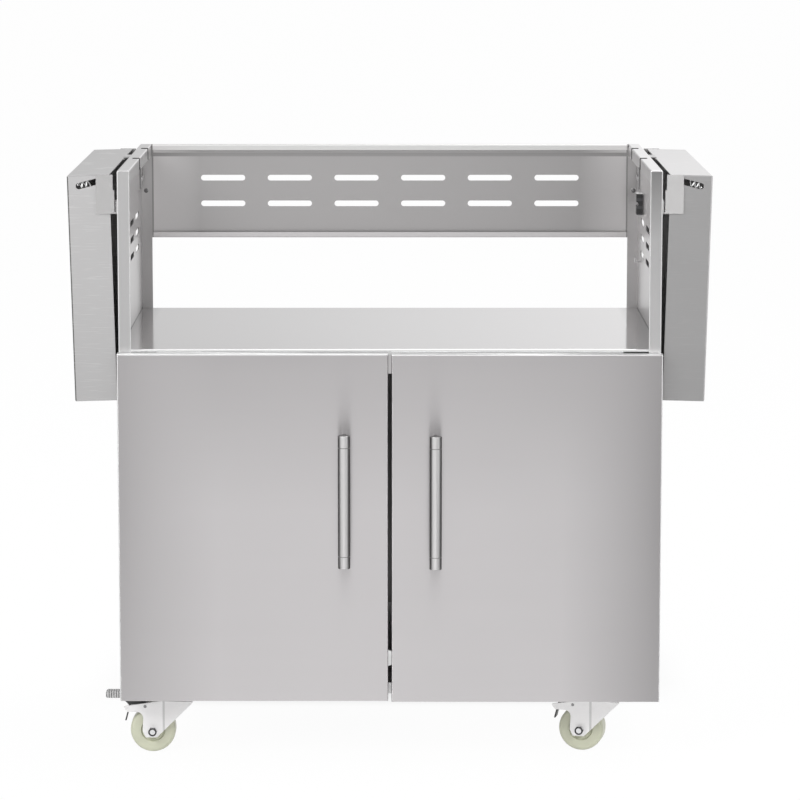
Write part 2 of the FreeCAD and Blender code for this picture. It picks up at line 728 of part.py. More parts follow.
def shelf_bracket(side, hand, end):
    """A notched cheek beside the shelf, with a foot that runs along the side panel under the swing
    of the shelf and up against the panel."""
    name = f"shelf_bracket_{side}_{end}"
    body = new_body(name)

    def out(distance):
        return (half + distance) * hand

    at_front = end == "front"
    cheek = new_sketch(body, "XZ", cheek_near if at_front else cheek_far - s.cheek_sheet)
    step = cheek_top - s.cheek_notch_height
    outline(cheek, [
        (out(s.cheek_reach), cheek_bottom), (out(s.cheek_gap), cheek_bottom), (out(s.cheek_gap), step),
        (out(s.cheek_gap + s.cheek_notch), step), (out(s.cheek_gap + s.cheek_notch), cheek_top),
        (out(s.cheek_reach), cheek_top),
    ])
    pad(body, cheek, s.cheek_sheet)
    foot = new_sketch(body, "XZ", cheek_near if at_front else cheek_far - s.foot_width)
    floor, wall = cheek_bottom + s.cheek_sheet, out(s.cheek_sheet)
    outline(foot, [
        (out(s.foot_web), cheek_bottom), (out(0), cheek_bottom), (out(0), cheek_bottom + s.foot_height),
        (wall, cheek_bottom + s.foot_height), (wall, floor), (out(s.foot_web), floor),
    ])
    pad(body, foot, s.foot_width)
    bolts = new_sketch(body, "YZ")
    for along in foot_bolts()[:2] if at_front else foot_bolts()[2:]:
        circle(bolts, (along, foot_bolt_z), s.screw / 2 + s.drill_play)
    cut_through(body, bolts)
    keep(name, body)


def bracket_bolts():
    """Bolts through the bracket feet, the side panels and the backing plates, each with its nut."""
    groups = []
    for side, hand in SIDES.items():
        body = new_body(f"bracket_bolt_{side}")
        sketch = new_sketch(body, "XY")
        head, shank = s.screw_head / 2, s.screw / 2
        grip = s.cheek_sheet + s.sheet + s.backing_sheet
        outline(sketch, [
            (0, -s.screw_rise), (head * 0.7, -s.screw_rise), (head, -s.screw_rise * 0.4), (head, 0), (shank, 0),
            (shank, grip), (head, grip), (head, grip + s.screw_rise), (0, grip + s.screw_rise),
        ])
        revolve(body, sketch)
        body.Placement.Rotation = FreeCAD.Rotation(Vector(0, 0, 1), 90 * hand)
        groups.append((body, [((half + s.cheek_sheet) * hand, along, foot_bolt_z) for along in foot_bolts()]))
    doc.recompute()
    group = doc.addObject("Part::Feature", "bracket_bolts")
    copies = []
    for body, spots in groups:
        for spot in spots:
            copy = body.Shape.copy()
            copy.translate(Vector(*[value.value for value in spot]))
            copies.append(copy)
    group.Shape = Part.makeCompound(copies)
    keep("bracket_bolts", group)


def bracket_backings():
    """Flat plates inside the side panels, one behind each bracket foot."""
    plates = []
    for side, hand in SIDES.items():
        for end, low in (("front", cheek_near), ("rear", cheek_far - s.foot_width)):
            body = new_body(f"bracket_backing_{side}_{end}")
            inner = half - s.sheet
            sketch = new_sketch(body, "YZ", inner - s.backing_sheet if hand == RIGHT else -inner)
            middle = cheek_bottom + s.foot_height / 2
            rectangle(sketch, (low, middle - s.backing_height / 2), (low + s.foot_width, middle + s.backing_height / 2))
            pad(body, sketch, s.backing_sheet)
            bolts = new_sketch(body, "YZ")
            for along in foot_bolts()[:2] if end == "front" else foot_bolts()[2:]:
                circle(bolts, (along, foot_bolt_z), s.screw / 2 + s.drill_play)
            cut_through(body, bolts)
            plates.append(body)
    gather("bracket_backings", plates)


def shelf_bushes():
    """Rings on the inner faces of the cheeks, in which the rods turn."""
    body = new_body("shelf_bush")
    ring = new_sketch(body, "XZ")
    circle(ring, (0, 0), s.journal / 2 + s.bush_wall)
    circle(ring, (0, 0), s.journal / 2 + s.fit)
    pad(body, ring, s.bush_length)
    near, far = cheek_near + s.cheek_sheet, cheek_far - s.cheek_sheet - s.bush_length
    scatter("shelf_bushes", body, [(rod_x * hand, y, rod_z) for hand in SIDES.values() for y in (near, far)])


def rim_tabs():
    """A small tab on each outer rim edge that bridges most of the gap to the shelf."""
    tabs = []
    for side, hand in SIDES.items():
        body = new_body(f"rim_tab_{side}")
        section = new_sketch(body, "XZ", front + s.tab_start)
        start, end = half * hand, (half + s.tab_reach) * hand
        inside = (half + s.tab_reach - s.sheet) * hand
        top, under = s.rim_height - s.bend, s.rim_height - s.bend - s.sheet
        outline(section, [(start, top), (end, top), (end, top - s.tab_lip), (inside, top - s.tab_lip),
                          (inside, under), (start, under)])
        pad(body, section, s.tab_length)
        tabs.append(body)
    gather("rim_tabs", tabs)


# Folded shelf: a point's offset from the rod turns with the shelf's lean
lean = s.shelf_tilt
edge_in = s.shelf_skirt - s.rod_from_face
edge_low = s.shelf_length - s.rod_from_top
shelf_edge_out = s.rod_out - edge_in * cosine(lean) - edge_low * sine(lean)
shelf_edge_z = rod_z + edge_in * sine(lean) - edge_low * cosine(lean)


def shelf_bumpers():
    """Rubber buttons on the sides, against which the lower edge of a folded shelf rests."""
    thick = shelf_edge_out - s.rest_gap
    buttons = []
    for side, hand in SIDES.items():
        for end, along in (("front", shelf_near + s.pad_inset), ("rear", shelf_far - s.pad_inset)):
            body = new_body(f"shelf_bumper_{side}_{end}")
            sketch = new_sketch(body, "YZ", half if hand == RIGHT else -half - thick)
            circle(sketch, (along, shelf_edge_z + s.shelf_sheet), s.pad_across / 2)
            disc = pad(body, sketch, thick)
            crown = (half + thick) * hand
            fillet(body, disc, thick / 4, lambda edge, crown=crown: lies_on(edge, "X", crown))
            buttons.append(body)
    gather("shelf_bumpers", buttons)


# Door pivots and stops

lug_high = door_top - s.door_sheet - s.lug_gap - s.lug_sheet
lug_low = door_bottom + s.door_sheet + s.lug_gap
pin_length = s.lug_sheet + s.lug_gap + s.door_sheet - s.rest_gap


def hinge_spots(levels):
    """Pivots of both doors at the given levels; those of the right door are lower."""
    lowered = [level - s.door_sag for level in levels]
    return [(-pivot_x, pivot_y, z) for z in levels] + [(pivot_x, pivot_y, z) for z in lowered]


def hinge_lugs():
    """Lugs that stand off the front posts inside the doors, each with a round nose."""
    body = new_body("hinge_lug")
    strip = new_sketch(body, "XY")
    rectangle(strip, (-s.lug_half, 0), (s.lug_half, front - pivot_y))
    pad(body, strip, s.lug_sheet)
    nose = new_sketch(body, "XY")
    circle(nose, (0, 0), s.lug_half)
    pad(body, nose, s.lug_sheet)
    bore = new_sketch(body, "XY")
    circle(bore, (0, 0), s.hinge_pin / 2 + s.drill_play)
    cut_through(body, bore)
    levels = (lug_low, lug_high)
    scatter("hinge_lugs", body, hinge_spots(levels))


def hinge_pins():
    """Pins fixed in the lugs; the door's top and bottom flanges turn on them."""
    body = new_body("hinge_pin")
    sketch = new_sketch(body, "XY")
    circle(sketch, (0, 0), s.hinge_pin / 2)
    pad(body, sketch, pin_length)
    levels = (door_bottom + s.rest_gap, lug_high)
    scatter("hinge_pins", body, hinge_spots(levels))


magnet_z = s.deck_height - s.deck_front_lip / 2


def door_magnets():
    """Flat magnets on the deck's front lip, just clear of the strike plates of the doors."""
    body = new_body("door_magnet")
    thick = s.sheet + s.door_gap - s.strike_sheet - s.rest_gap
    sketch = new_sketch(body, "XZ")
    rectangle(sketch, (-s.magnet_length / 2, -s.magnet_height / 2), (s.magnet_length / 2, s.magnet_height / 2))
    block = pad(body, sketch, thick)
    fillet(body, block, s.bend, lambda edge: runs_along(edge, "Y"))
    middle = s.magnet_inset + s.magnet_length / 2
    spots = [(middle * hand, front + s.sheet - thick, magnet_z) for hand in SIDES.values()]
    scatter("door_magnets", body, spots)


def door_bumpers():
    """Rubber buttons on the lip of the cabinet floor behind the doors."""
    body = new_body("door_bumper")
    thick = s.sheet + s.door_gap - s.rest_gap
    sketch = new_sketch(body, "XZ")
    circle(sketch, (0, 0), s.bumper / 2)
    disc = pad(body, sketch, thick)
    fillet(body, disc, s.bend, lambda edge: lies_on(edge, "Y", size(0)))
    height = s.base_height + s.base_lip / 2
    spots = [(s.bumper_inset * hand, front + s.sheet - thick, height) for hand in SIDES.values()]
    scatter("door_bumpers", body, spots)


def hose_clip():
    """Black clip on the inside of the right panel, with an open channel for a gas hose."""
    body = new_body("hose_clip")
    wall = half - s.sheet
    middle = s.rim_height - s.clip_below
    section = new_sketch(body, "XZ", front + s.clip_back - s.clip_length / 2)
    rectangle(section, (wall - s.clip_reach, middle - s.clip_height / 2), (wall, middle + s.clip_height / 2))
    block = pad(body, section, s.clip_length)
    fillet(body, block, s.clip_round, lambda edge: lies_on(edge, "X", wall - s.clip_reach))
    channel_cut = new_sketch(body, "XZ")
    circle(channel_cut, (wall - s.clip_reach, middle), s.hose_channel / 2)
    cut_through(body, channel_cut)
    keep("hose_clip", body)


def hose_hook():
    """Small folded hook on the inside of the right panel, below the clip."""
    body = new_body("hose_hook")
    wall = half - s.sheet
    level = s.deck_height + s.hook_above
    section = new_sketch(body, "XZ", front + s.hook_back - s.hook_length / 2)
    tip = wall - s.clip_reach
    outline(section, [
        (wall, level), (tip, level), (tip, level + s.hook_tip), (tip + s.sheet, level + s.hook_tip),
        (tip + s.sheet, level + s.sheet), (wall - s.sheet, level + s.sheet),
        (wall - s.sheet, level + s.hook_height), (wall, level + s.hook_height),
    ])
    pad(body, section, s.hook_length)
    keep("hose_hook", body)


# Doors

def door(side, hand):
    """A skin folded back on all four sides, closed by a liner, with its handle and strike plate."""
    outer, inner = door_outer * hand, door_inner * hand
    notch_high = s.lug_gap + s.lug_sheet + s.lug_room
    pivot = pivot_x * hand
    body = new_body(f"door_skin_{side}")
    face = new_sketch(body, "XZ", door_face)
    rectangle(face, (outer, door_bottom), (inner, door_top))
    block = pad(body, face, s.door_depth)
    rounded = fillet(body, block, s.door_bend, lambda edge: lies_on(edge, "Y", door_face))
    hollow = new_sketch(body, "XZ", door_back)
    wall = s.door_sheet
    rectangle(hollow, (outer - wall * hand, door_bottom + wall), (inner + wall * hand, door_top - wall))
    cut(body, hollow, s.door_depth - wall, -1)
    notches = new_sketch(body, "XZ", door_back)
    for low in (door_bottom + wall, door_top - wall - notch_high):
        rectangle(notches, (outer + wall * hand, low), (outer - wall * hand * 2, low + notch_high))
    cut(body, notches, s.door_depth - wall - s.lug_gap, -1)
    bores = new_sketch(body, "XY")
    circle(bores, (pivot, pivot_y), s.hinge_pin / 2 + s.fit)
    cut_through(body, bores)
    screws = new_sketch(body, "XZ")
    for height in (handle_top - s.handle_end / 2, handle_bottom + s.handle_end / 2):
        circle(screws, (handle_x * hand, height), s.screw / 2 + s.drill_play)
    cut_through(body, screws)
    hang(body, hand)
    keep(f"door_skin_{side}", body)

    body = new_body(f"door_liner_{side}")
    plate = new_sketch(body, "XZ", door_back - wall)
    rectangle(plate, (outer - wall * hand, door_bottom + wall), (inner + wall * hand, door_top - wall))
    pad(body, plate, wall)
    notches = new_sketch(body, "XZ")
    past_lug = (pivot_x - s.lug_half - s.lug_room) * hand
    for low in (door_bottom + wall, door_top - wall - notch_high):
        rectangle(notches, (outer + hand, low), (past_lug, low + notch_high))
    cut_through(body, notches)
    hang(body, hand)
    keep(f"door_liner_{side}", body)

    body = new_body(f"strike_plate_{side}")
    plate = new_sketch(body, "XZ", door_back)
    start = s.magnet_inset * hand
    end = (s.magnet_inset + s.magnet_length) * hand
    rectangle(plate, (start, magnet_z - s.magnet_height / 2), (end, magnet_z + s.magnet_height / 2))
    pad(body, plate, s.strike_sheet)
    hang(body, hand)
    keep(f"strike_plate_{side}", body)


def handle(side, hand):
    """A tube between two end pieces, each held off the door by a stem and a screw from inside."""
    x = handle_x * hand
    bar = s.handle_bar / 2
    bore = bar - s.handle_wall
    body = new_body(f"handle_tube_{side}")
    ring = new_sketch(body, "XY", handle_bottom + s.handle_end)
    circle(ring, (x, handle_y), bar)
    circle(ring, (x, handle_y), bore)
    tube = pad(body, ring, s.handle_length - s.handle_end * 2)
    fillet(body, tube, s.handle_seam, lambda edge: edge.BoundBox.XLength > bore.value * 2 + 1)
    hang(body, hand)
    keep(f"handle_tube_{side}", body)

    posts, screws = [], []
    upper_seam, lower_seam = handle_top - s.handle_end, handle_bottom + s.handle_end
    ends = {"upper": (upper_seam, upper_seam - s.spigot, handle_top, upper_seam),
            "lower": (handle_bottom, lower_seam, handle_bottom, lower_seam)}
    for end, (low, spigot_low, tip, seam) in ends.items():
        body = new_body(f"handle_post_{side}_{end}")
        piece = new_sketch(body, "XY", low)
        circle(piece, (x, handle_y), bar)
        block = pad(body, piece, s.handle_end)
        rounded = fillet(body, block, s.handle_round, lambda edge, tip=tip: lies_on(edge, "Z", tip))
        fillet(body, rounded, s.handle_seam, lambda edge, seam=seam: lies_on(edge, "Z", seam))
        plug = new_sketch(body, "XY", spigot_low)
        circle(plug, (x, handle_y), bore - s.drill_play)
        pad(body, plug, s.spigot)
        middle = low + s.handle_end / 2
        stem = new_sketch(body, "XZ", handle_y)
        circle(stem, (x, middle), s.handle_stem / 2)
        pad(body, stem, s.handle_standoff)
        thread = new_sketch(body, "XZ", door_face)
        circle(thread, (x, middle), s.screw / 2 + s.drill_play)
        cut(body, thread, s.screw_grip + s.rest_gap, -1)
        hang(body, hand)
        posts.append(body)
        body = new_body(f"handle_screw_{side}_{end}")
        shank = new_sketch(body, "XZ", door_face - s.screw_grip)
        circle(shank, (x, middle), s.screw / 2)
        pad(body, shank, s.screw_grip + s.door_sheet)
        head = new_sketch(body, "XZ", door_face + s.door_sheet)
        circle(head, (x, middle), s.screw_head / 2)
        pad(body, head, s.screw_rise)
        hang(body, hand)
        screws.append(body)
    gather(f"handle_posts_{side}", posts)
    gather(f"handle_screws_{side}", screws)


# Shelves

def shelf(side, hand):
    """A pan open towards the cart. It is drawn upright about the rod and then leans with it. The
    slots of its front and rear skirts slope outwards and run on the rod."""
    body = new_body(f"shelf_pan_{side}")
    face, inner = s.rod_from_face * hand, (s.rod_from_face - s.shelf_skirt) * hand
    top, bottom = s.rod_from_top, s.rod_from_top - s.shelf_length
    wall = s.shelf_sheet
    table = new_sketch(body, "YZ", face if hand == LEFT else inner)
    rectangle(table, (shelf_near, bottom), (shelf_far, top))
    block = pad(body, table, s.shelf_skirt)
    fillet(body, block, s.shelf_bend, lambda edge: lies_on(edge, "X", face))
    hollow = new_sketch(body, "YZ", inner)
    rectangle(hollow, (shelf_near + wall, bottom + wall), (shelf_far - wall, top - wall))
    cut(body, hollow, s.shelf_skirt - wall, hand)
    slots = new_sketch(body, "XZ")
    run = s.shelf_travel + s.slot_spare
    end = (run * cosine(s.slot_rise) * hand, -run * sine(s.slot_rise))
    oblong(slots, (0, 0), end, s.shelf_slot / 2)
    cut_through(body, slots)
    body.Placement.Rotation = FreeCAD.Rotation(Vector(0, hand, 0), s.shelf_tilt.value)
    bind(body, "Placement.Rotation.Angle", s.shelf_tilt)
    place(body, rod_x * hand, 0, rod_z)
    keep(f"shelf_pan_{side}", body)

    body = new_body(f"shelf_rod_{side}")
    near, far = shelf_near - s.bush_gap + s.fit, shelf_far + s.bush_gap - s.fit
    thick = s.shelf_slot / 2 - s.fit
    reach_in = s.bush_length - s.fit * 2
    sketch = new_sketch(body, "XY")
    outline(sketch, [
        (0, near - reach_in), (s.journal / 2, near - reach_in), (s.journal / 2, near), (thick, near),
        (thick, far), (s.journal / 2, far), (s.journal / 2, far + reach_in), (0, far + reach_in),
    ])
    revolve(body, sketch)
    place(body, rod_x * hand, 0, rod_z)
    keep(f"shelf_rod_{side}", body)


# Casters, each drawn about its swivel axis

def caster_bolt_places():
    """Where the caster bolts lie on the cabinet floor."""
    spots = []
    for hand, y in CORNERS.values():
        for across in (-1, 1):
            for along in (-1, 1):
                spots.append((s.caster_side * hand + s.bolt_pitch_x / 2 * across, y + s.bolt_pitch_y / 2 * along))
    return spots


def place_turned(body, corner, behind, height):
    """Places a piece of a fork whose origin lies a distance behind the swivel axis. The right front
    caster stands turned about that axis."""
    hand, y = CORNERS[corner]
    if corner == "fr":
        body.Placement.Rotation = FreeCAD.Rotation(Vector(0, 0, -1), s.caster_turn.value)
        bind(body, "Placement.Rotation.Angle", s.caster_turn)
        x = s.caster_side * hand - behind * cosine(s.caster_turn)
        place(body, x, y + behind * sine(s.caster_turn), height)
    else:
        place(body, s.caster_side * hand - behind, y, height)


def caster_plate(corner, hand, y):
    """Top plate with the double swivel race and the king pin, whose lower end is riveted over."""
    body = new_body(f"caster_plate_{corner}")
    plate = new_sketch(body, "XY", plate_under)
    rectangle(plate, (-s.plate_length / 2, -s.plate_width / 2), (s.plate_length / 2, s.plate_width / 2))
    block = pad(body, plate, s.plate_sheet)
    fillet(body, block, s.plate_corner, lambda edge: runs_along(edge, "Z"))
    turned = new_sketch(body, "XZ")
    race_under = plate_under - s.race_height
    head_top = fork_under - s.fork_gap
    race, king, head = s.race / 2, s.king_pin / 2, s.king_head / 2
    outline(turned, [
        (0, plate_under + s.plate_sheet / 2), (race * 0.8, plate_under + s.plate_sheet / 2),
        (race * 0.8, plate_under), (race, plate_under - s.race_height * 0.2),
        (race, plate_under - s.race_height * 0.35), (race * 0.8, plate_under - s.race_height * 0.5),
        (race, plate_under - s.race_height * 0.65), (race, plate_under - s.race_height * 0.85),
        (race * 0.9, race_under), (king, race_under), (king, head_top), (head, head_top),
        (head * 0.8, head_top - s.king_head_height), (0, head_top - s.king_head_height),
    ])
    revolve(body, turned)
    bores = new_sketch(body, "XY")
    for across in (-1, 1):
        for along in (-1, 1):
            spot = (s.bolt_pitch_x / 2 * across, s.bolt_pitch_y / 2 * along)
            circle(bores, spot, s.axle / 2 + s.drill_play)
    cut_through(body, bores)
    place(body, s.caster_side * hand, y, 0)
    keep(f"caster_plate_{corner}", body)


def caster_bolts():
    """Hex bolts up through the plates and the cabinet floor, each with its nut inside."""
    body = new_body("caster_bolt")
    grip = s.plate_sheet + s.sheet
    head = new_sketch(body, "XY", plate_under - s.bolt_head)
    hexagon(head, (0, 0), s.hex)
    pad(body, head, s.bolt_head)
    shank = new_sketch(body, "XY", plate_under - s.bolt_head / 2)
    circle(shank, (0, 0), s.axle / 2)
    pad(body, shank, s.bolt_head / 2 + grip + s.nut + s.sheet)
    nut = new_sketch(body, "XY", plate_under + grip)
    hexagon(nut, (0, 0), s.hex)
    pad(body, nut, s.nut)
    scatter("caster_bolts", body, [(x, y, 0) for x, y in caster_bolt_places()])


def caster_fork(corner, braked):
    """Two legs under a flat top. In plan the legs are straight along the wheel and flare past a
    crease; seen from the side they arch over the wheel and taper to the axle, and their upper edges
    fall towards the tail."""
    body = new_body(f"caster_fork_{corner}")
    low = axle_z - s.lug_below
    inside, outside = s.fork_inside / 2, fork_outside / 2
    tail, nose, crease = -s.fork_tail, s.fork_nose, -s.fork_crease
    top = new_sketch(body, "XY", fork_under)
    outline(top, [
        (-s.fork_mouth, -outside), (crease, -outside), (nose, -outside - s.fork_flare),
        (nose, outside + s.fork_flare), (crease, outside), (-s.fork_mouth, outside),
    ])
    pad(body, top, s.fork_sheet)
    for turn in (-1, 1):
        leg = new_sketch(body, "XY", low)
        outline(leg, [
            (tail, inside * turn), (crease, inside * turn), (nose, (inside + s.fork_flare) * turn),
            (nose, (outside + s.fork_flare) * turn), (crease, outside * turn), (tail, outside * turn),
        ])
        legs = pad(body, leg, fork_top - low)
    trims = new_sketch(body, "XZ")
    edge = -s.trail - s.leg_back
    under = fork_top - s.tail_under
    outline(trims, [
        (tail - s.leg_back, low - s.lug_below), (tail - s.leg_back, fork_top - s.tail_drop),
        (tail, fork_top - s.tail_drop), (tail + s.tail_taper, under), (edge, under),
        (edge - s.leg_lean, axle_z), (-s.trail - s.lug_back, low), (-s.trail - s.lug_back, low - s.lug_below),
    ])
    outline(trims, [
        (-s.trail + s.lug_front, low - s.lug_below), (-s.trail + s.lug_front, low),
        (nose, fork_top - s.nose_drop), (nose + s.leg_back, fork_top - s.nose_drop),
        (nose + s.leg_back, low - s.lug_below),
    ])
    fall = s.tail_slope * (s.fork_tail + s.leg_back - s.fork_mouth) / (s.fork_tail - s.fork_mouth)
    outline(trims, [
        (-s.fork_mouth, fork_top), (tail - s.leg_back, fork_top - fall),
        (tail - s.leg_back, fork_top + s.leg_back), (-s.fork_mouth, fork_top + s.leg_back),
    ])
    trimmed = cut_through(body, trims)
    fillet(body, trimmed, s.arch, lambda bend: runs_along(bend, "Y") and lies_on(bend, "X", edge)
           and lies_on(bend, "Z", under))
    bores = new_sketch(body, "XZ")
    circle(bores, (-s.trail, axle_z), s.axle / 2 + s.drill_play)
    if braked:
        circle(bores, (-s.pedal_pin_back, s.pedal_pin_height), s.pedal_pin / 2 + s.drill_play)
    cut_through(body, bores)
    king = new_sketch(body, "XY")
    circle(king, (0, 0), s.king_pin / 2 + s.fit)
    cut_through(body, king)
    place_turned(body, corner, size(0), 0)
    keep(f"caster_fork_{corner}", body)


def axle(corner):
    """Axle bolt across the fork: hex head at the back, lock nut with a round collar at the front."""
    body = new_body(f"axle_{corner}")
    outside = fork_outside / 2
    shank = new_sketch(body, "XZ", -outside - s.nut - s.nut_collar)
    circle(shank, (0, 0), s.axle / 2)
    pad(body, shank, outside * 2 + s.nut + s.nut_collar + s.bolt_head / 2)
    head = new_sketch(body, "XZ", outside)
    hexagon(head, (0, 0), s.hex)
    pad(body, head, s.bolt_head)
    nut = new_sketch(body, "XZ", -outside - s.nut)
    hexagon(nut, (0, 0), s.hex)
    pad(body, nut, s.nut)
    collar = new_sketch(body, "XZ", -outside - s.nut - s.nut_collar * 0.8)
    circle(collar, (0, 0), s.hex * 0.46)
    pad(body, collar, s.nut_collar)
    place_turned(body, corner, s.trail, axle_z)
    keep(f"axle_{corner}", body)


def wheel(corner):
    """Turned wheel: a hub, a recessed web and a broad tread with round shoulders."""
    body = new_body(f"wheel_{corner}")
    bore, hub, recess, rim = s.axle / 2 + s.fit, s.hub / 2, s.wheel_recess / 2, s.wheel / 2
    slope = (s.tread - s.web) / 2
    profile = new_sketch(body, "XY")
    half_profile = [
        (bore, s.hub_length / 2), (hub, s.hub_length / 2), (hub + s.fork_sheet, s.web / 2),
        (recess - slope / 2, s.web / 2), (recess, s.tread / 2), (rim, s.tread / 2),
    ]
    outline(profile, half_profile + [(radius, -side) for radius, side in reversed(half_profile)])
    turned = revolve(body, profile)
    shoulders = (s.tread / 2, -s.tread / 2)

    def shoulder(edge):
        outermost = edge.BoundBox.XMax > rim.value - 1e-4
        return outermost and any(lies_on(edge, "Y", side) for side in shoulders)

    fillet(body, turned, s.shoulder, shoulder)
    place_turned(body, corner, s.trail, axle_z)
    keep(f"wheel_{corner}", body)


def brake_pedal(corner):
    """Lever on a pin between the fork legs: a ribbed pad outside the fork and a tongue that swings
    towards the tread when the pad is pressed."""
    body = new_body(f"brake_pedal_{corner}")
    wide = s.pedal_width / 2
    pin, end = -s.pedal_pin_back, -s.pedal_end
    pad_start = end + s.pedal_pad
    arm_high = s.pedal_pin_height + s.pedal_arm
    neck = -s.tongue_top - s.tongue_sheet
    side = new_sketch(body, "XZ", -wide)
    outline(side, [
        (pin, arm_high), (neck, arm_high), (pad_start, s.pedal_high), (end + s.tongue_sheet, s.pedal_high),
        (end, s.pedal_high - s.tongue_sheet), (end, s.pedal_low + s.tongue_sheet),
        (end + s.tongue_sheet, s.pedal_low), (pad_start, s.pedal_low), (neck, s.pedal_pin_height),
        (-s.tongue_tip - s.tongue_sheet, s.tongue_low), (-s.tongue_tip, s.tongue_low),
        (-s.tongue_top, s.pedal_pin_height), (pin, s.pedal_pin_height),
    ])
    pad(body, side, s.pedal_width)
    boss = new_sketch(body, "XZ", -s.fork_inside / 2 + s.rest_gap)
    circle(boss, (pin, s.pedal_pin_height), s.pedal_boss)
    pad(body, boss, s.fork_inside - s.rest_gap * 2)
    grooves = new_sketch(body, "XY")
    for count in range(5):
        middle = end + s.tongue_sheet * 2 + s.rib_pitch * count
        for turn in (-1, 1):
            rectangle(grooves, (middle, (wide + s.rib) * turn), (middle + s.rib, (wide - s.rib) * turn))
    cut_through(body, grooves)
    bore = new_sketch(body, "XZ")
    circle(bore, (pin, s.pedal_pin_height), s.pedal_pin / 2 + s.fit)
    cut_through(body, bore)
    place_turned(body, corner, size(0), 0)
    keep(f"brake_pedal_{corner}", body)

    body = new_body(f"pedal_pin_{corner}")
    length = fork_outside / 2 + s.rest_gap
    sketch = new_sketch(body, "XZ", -length)
    circle(sketch, (pin, s.pedal_pin_height), s.pedal_pin / 2)
    pad(body, sketch, length * 2)
    place_turned(body, corner, size(0), 0)
    keep(f"pedal_pin_{corner}", body)


# The whole cart

def build():
    rear_vent_panel()
    deck_panel()
    bottom_panel()
    lower_back_panel()
    panel_rivets()
    for side, hand in SIDES.items():
        side_panel(side, hand)
        shelf_bracket(side, hand, "front")
        shelf_bracket(side, hand, "rear")
        door(side, hand)
        handle(side, hand)
        shelf(side, hand)
    bracket_bolts()
    bracket_backings()
    shelf_bushes()
    rim_tabs()
    shelf_bumpers()
    hinge_lugs()
    hinge_pins()
    door_magnets()
    door_bumpers()
    hose_clip()
    hose_hook()
    caster_bolts()
    for corner, (hand, y) in CORNERS.items():
        braked = corner.startswith("f")
        caster_plate(corner, hand, y)
        caster_fork(corner, braked)
        axle(corner)
        wheel(corner)
        if braked:
            brake_pedal(corner)
    doc.recompute()


def check():
    """Stops if anything failed, and if a cut took nothing away."""
    for thing in doc.Objects:
        if "Invalid" in thing.State or "Error" in thing.State:
            raise RuntimeError(f"{thing.Name} of {thing.Label} failed: {thing.State}")
        if thing.TypeId == "PartDesign::Pocket":
            taken = thing.BaseFeature.Shape.Volume - thing.Shape.Volume
            if taken < 0.1:
                raise RuntimeError(f"{thing.Name} cuts nothing from {thing.getParentGeoFeatureGroup().Label}")
    for node, thing in nodes.items():
        if thing.Shape.isNull() or not thing.Shape.isValid() or not thing.Shape.Solids:
            raise RuntimeError(f"{node} has no valid solid")


def export():
    os.makedirs("parts", exist_ok=True)
    for node, thing in nodes.items():
        thing.Shape.exportStep(os.path.join("parts", f"{node}.step"))


build()
check()
export()
print(len(nodes), "sub-parts")
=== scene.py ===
import math
from typing import NamedTuple

import bmesh
import bpy
import numpy as np
from bpy.props import FloatProperty, FloatVectorProperty, PointerProperty
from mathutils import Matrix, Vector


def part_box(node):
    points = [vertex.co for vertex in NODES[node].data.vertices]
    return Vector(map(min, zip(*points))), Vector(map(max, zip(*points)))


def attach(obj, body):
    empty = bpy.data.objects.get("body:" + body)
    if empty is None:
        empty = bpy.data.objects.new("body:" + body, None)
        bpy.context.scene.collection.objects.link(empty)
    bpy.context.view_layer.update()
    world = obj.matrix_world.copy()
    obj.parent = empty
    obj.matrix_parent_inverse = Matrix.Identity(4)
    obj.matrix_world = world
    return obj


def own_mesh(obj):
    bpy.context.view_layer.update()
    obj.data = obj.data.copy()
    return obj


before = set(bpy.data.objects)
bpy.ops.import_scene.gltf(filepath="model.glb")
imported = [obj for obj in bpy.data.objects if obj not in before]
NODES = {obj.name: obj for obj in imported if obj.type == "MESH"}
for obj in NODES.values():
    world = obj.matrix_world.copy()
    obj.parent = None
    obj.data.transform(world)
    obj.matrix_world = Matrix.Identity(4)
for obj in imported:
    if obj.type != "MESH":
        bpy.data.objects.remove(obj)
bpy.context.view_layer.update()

bl_info = {
    "name": "Grill cart looks",
    "version": (1, 0, 0),
    "blender": (4, 5, 0),
    "location": "View3D > Sidebar > Grill cart",
    "description": "Finishes a stainless grill cart and sets its studio",
    "category": "Object",
}

SIDES = {"left": -1.0, "right": 1.0}
CORNERS = ("fl", "fr", "rl", "rr")
MM = 0.001
MEETING = 1e-7

# Places on the cart in metres, with X counted from its middle plane to either side

BEYOND = 1.0
WHOLE = (-BEYOND, BEYOND)
ROD_OUT, ROD_HEIGHT = 0.470, 0.9556
SHELF_LEAN = 0.0253
SLOT_RUN, SLOT_FALL = 0.967046, -0.254602
SPRING_PLACES = (-0.2268, 0.2928)
SPRING_START, SPRING_LENGTH, SPRING_STOP = 0.015, 0.020, 0.038
RIM_FOOT = 0.9712
DOOR_HEIGHTS = (0.115, 0.680)
HANDLE_OUT, HANDLE_RADIUS = 0.074, 0.010
POST_REACH = 0.020
STEM_FRONT = -0.2965
AXLE_REACH = 0.034
FRONT_RIGHT_SWIVEL = math.radians(14.0)
FLOOR_LEVEL = -0.0005


def up_to(value):
    """A range of places that ends at a value."""
    return (-BEYOND, value)


def over(value):
    """A range of places that starts at a value."""
    return (value, BEYOND)


# Settings that a user would change

def colour(name, description, default):
    """A colour setting with three channels."""
    return FloatVectorProperty(name=name, description=description, default=default, subtype="COLOR",
                               min=0, max=1)


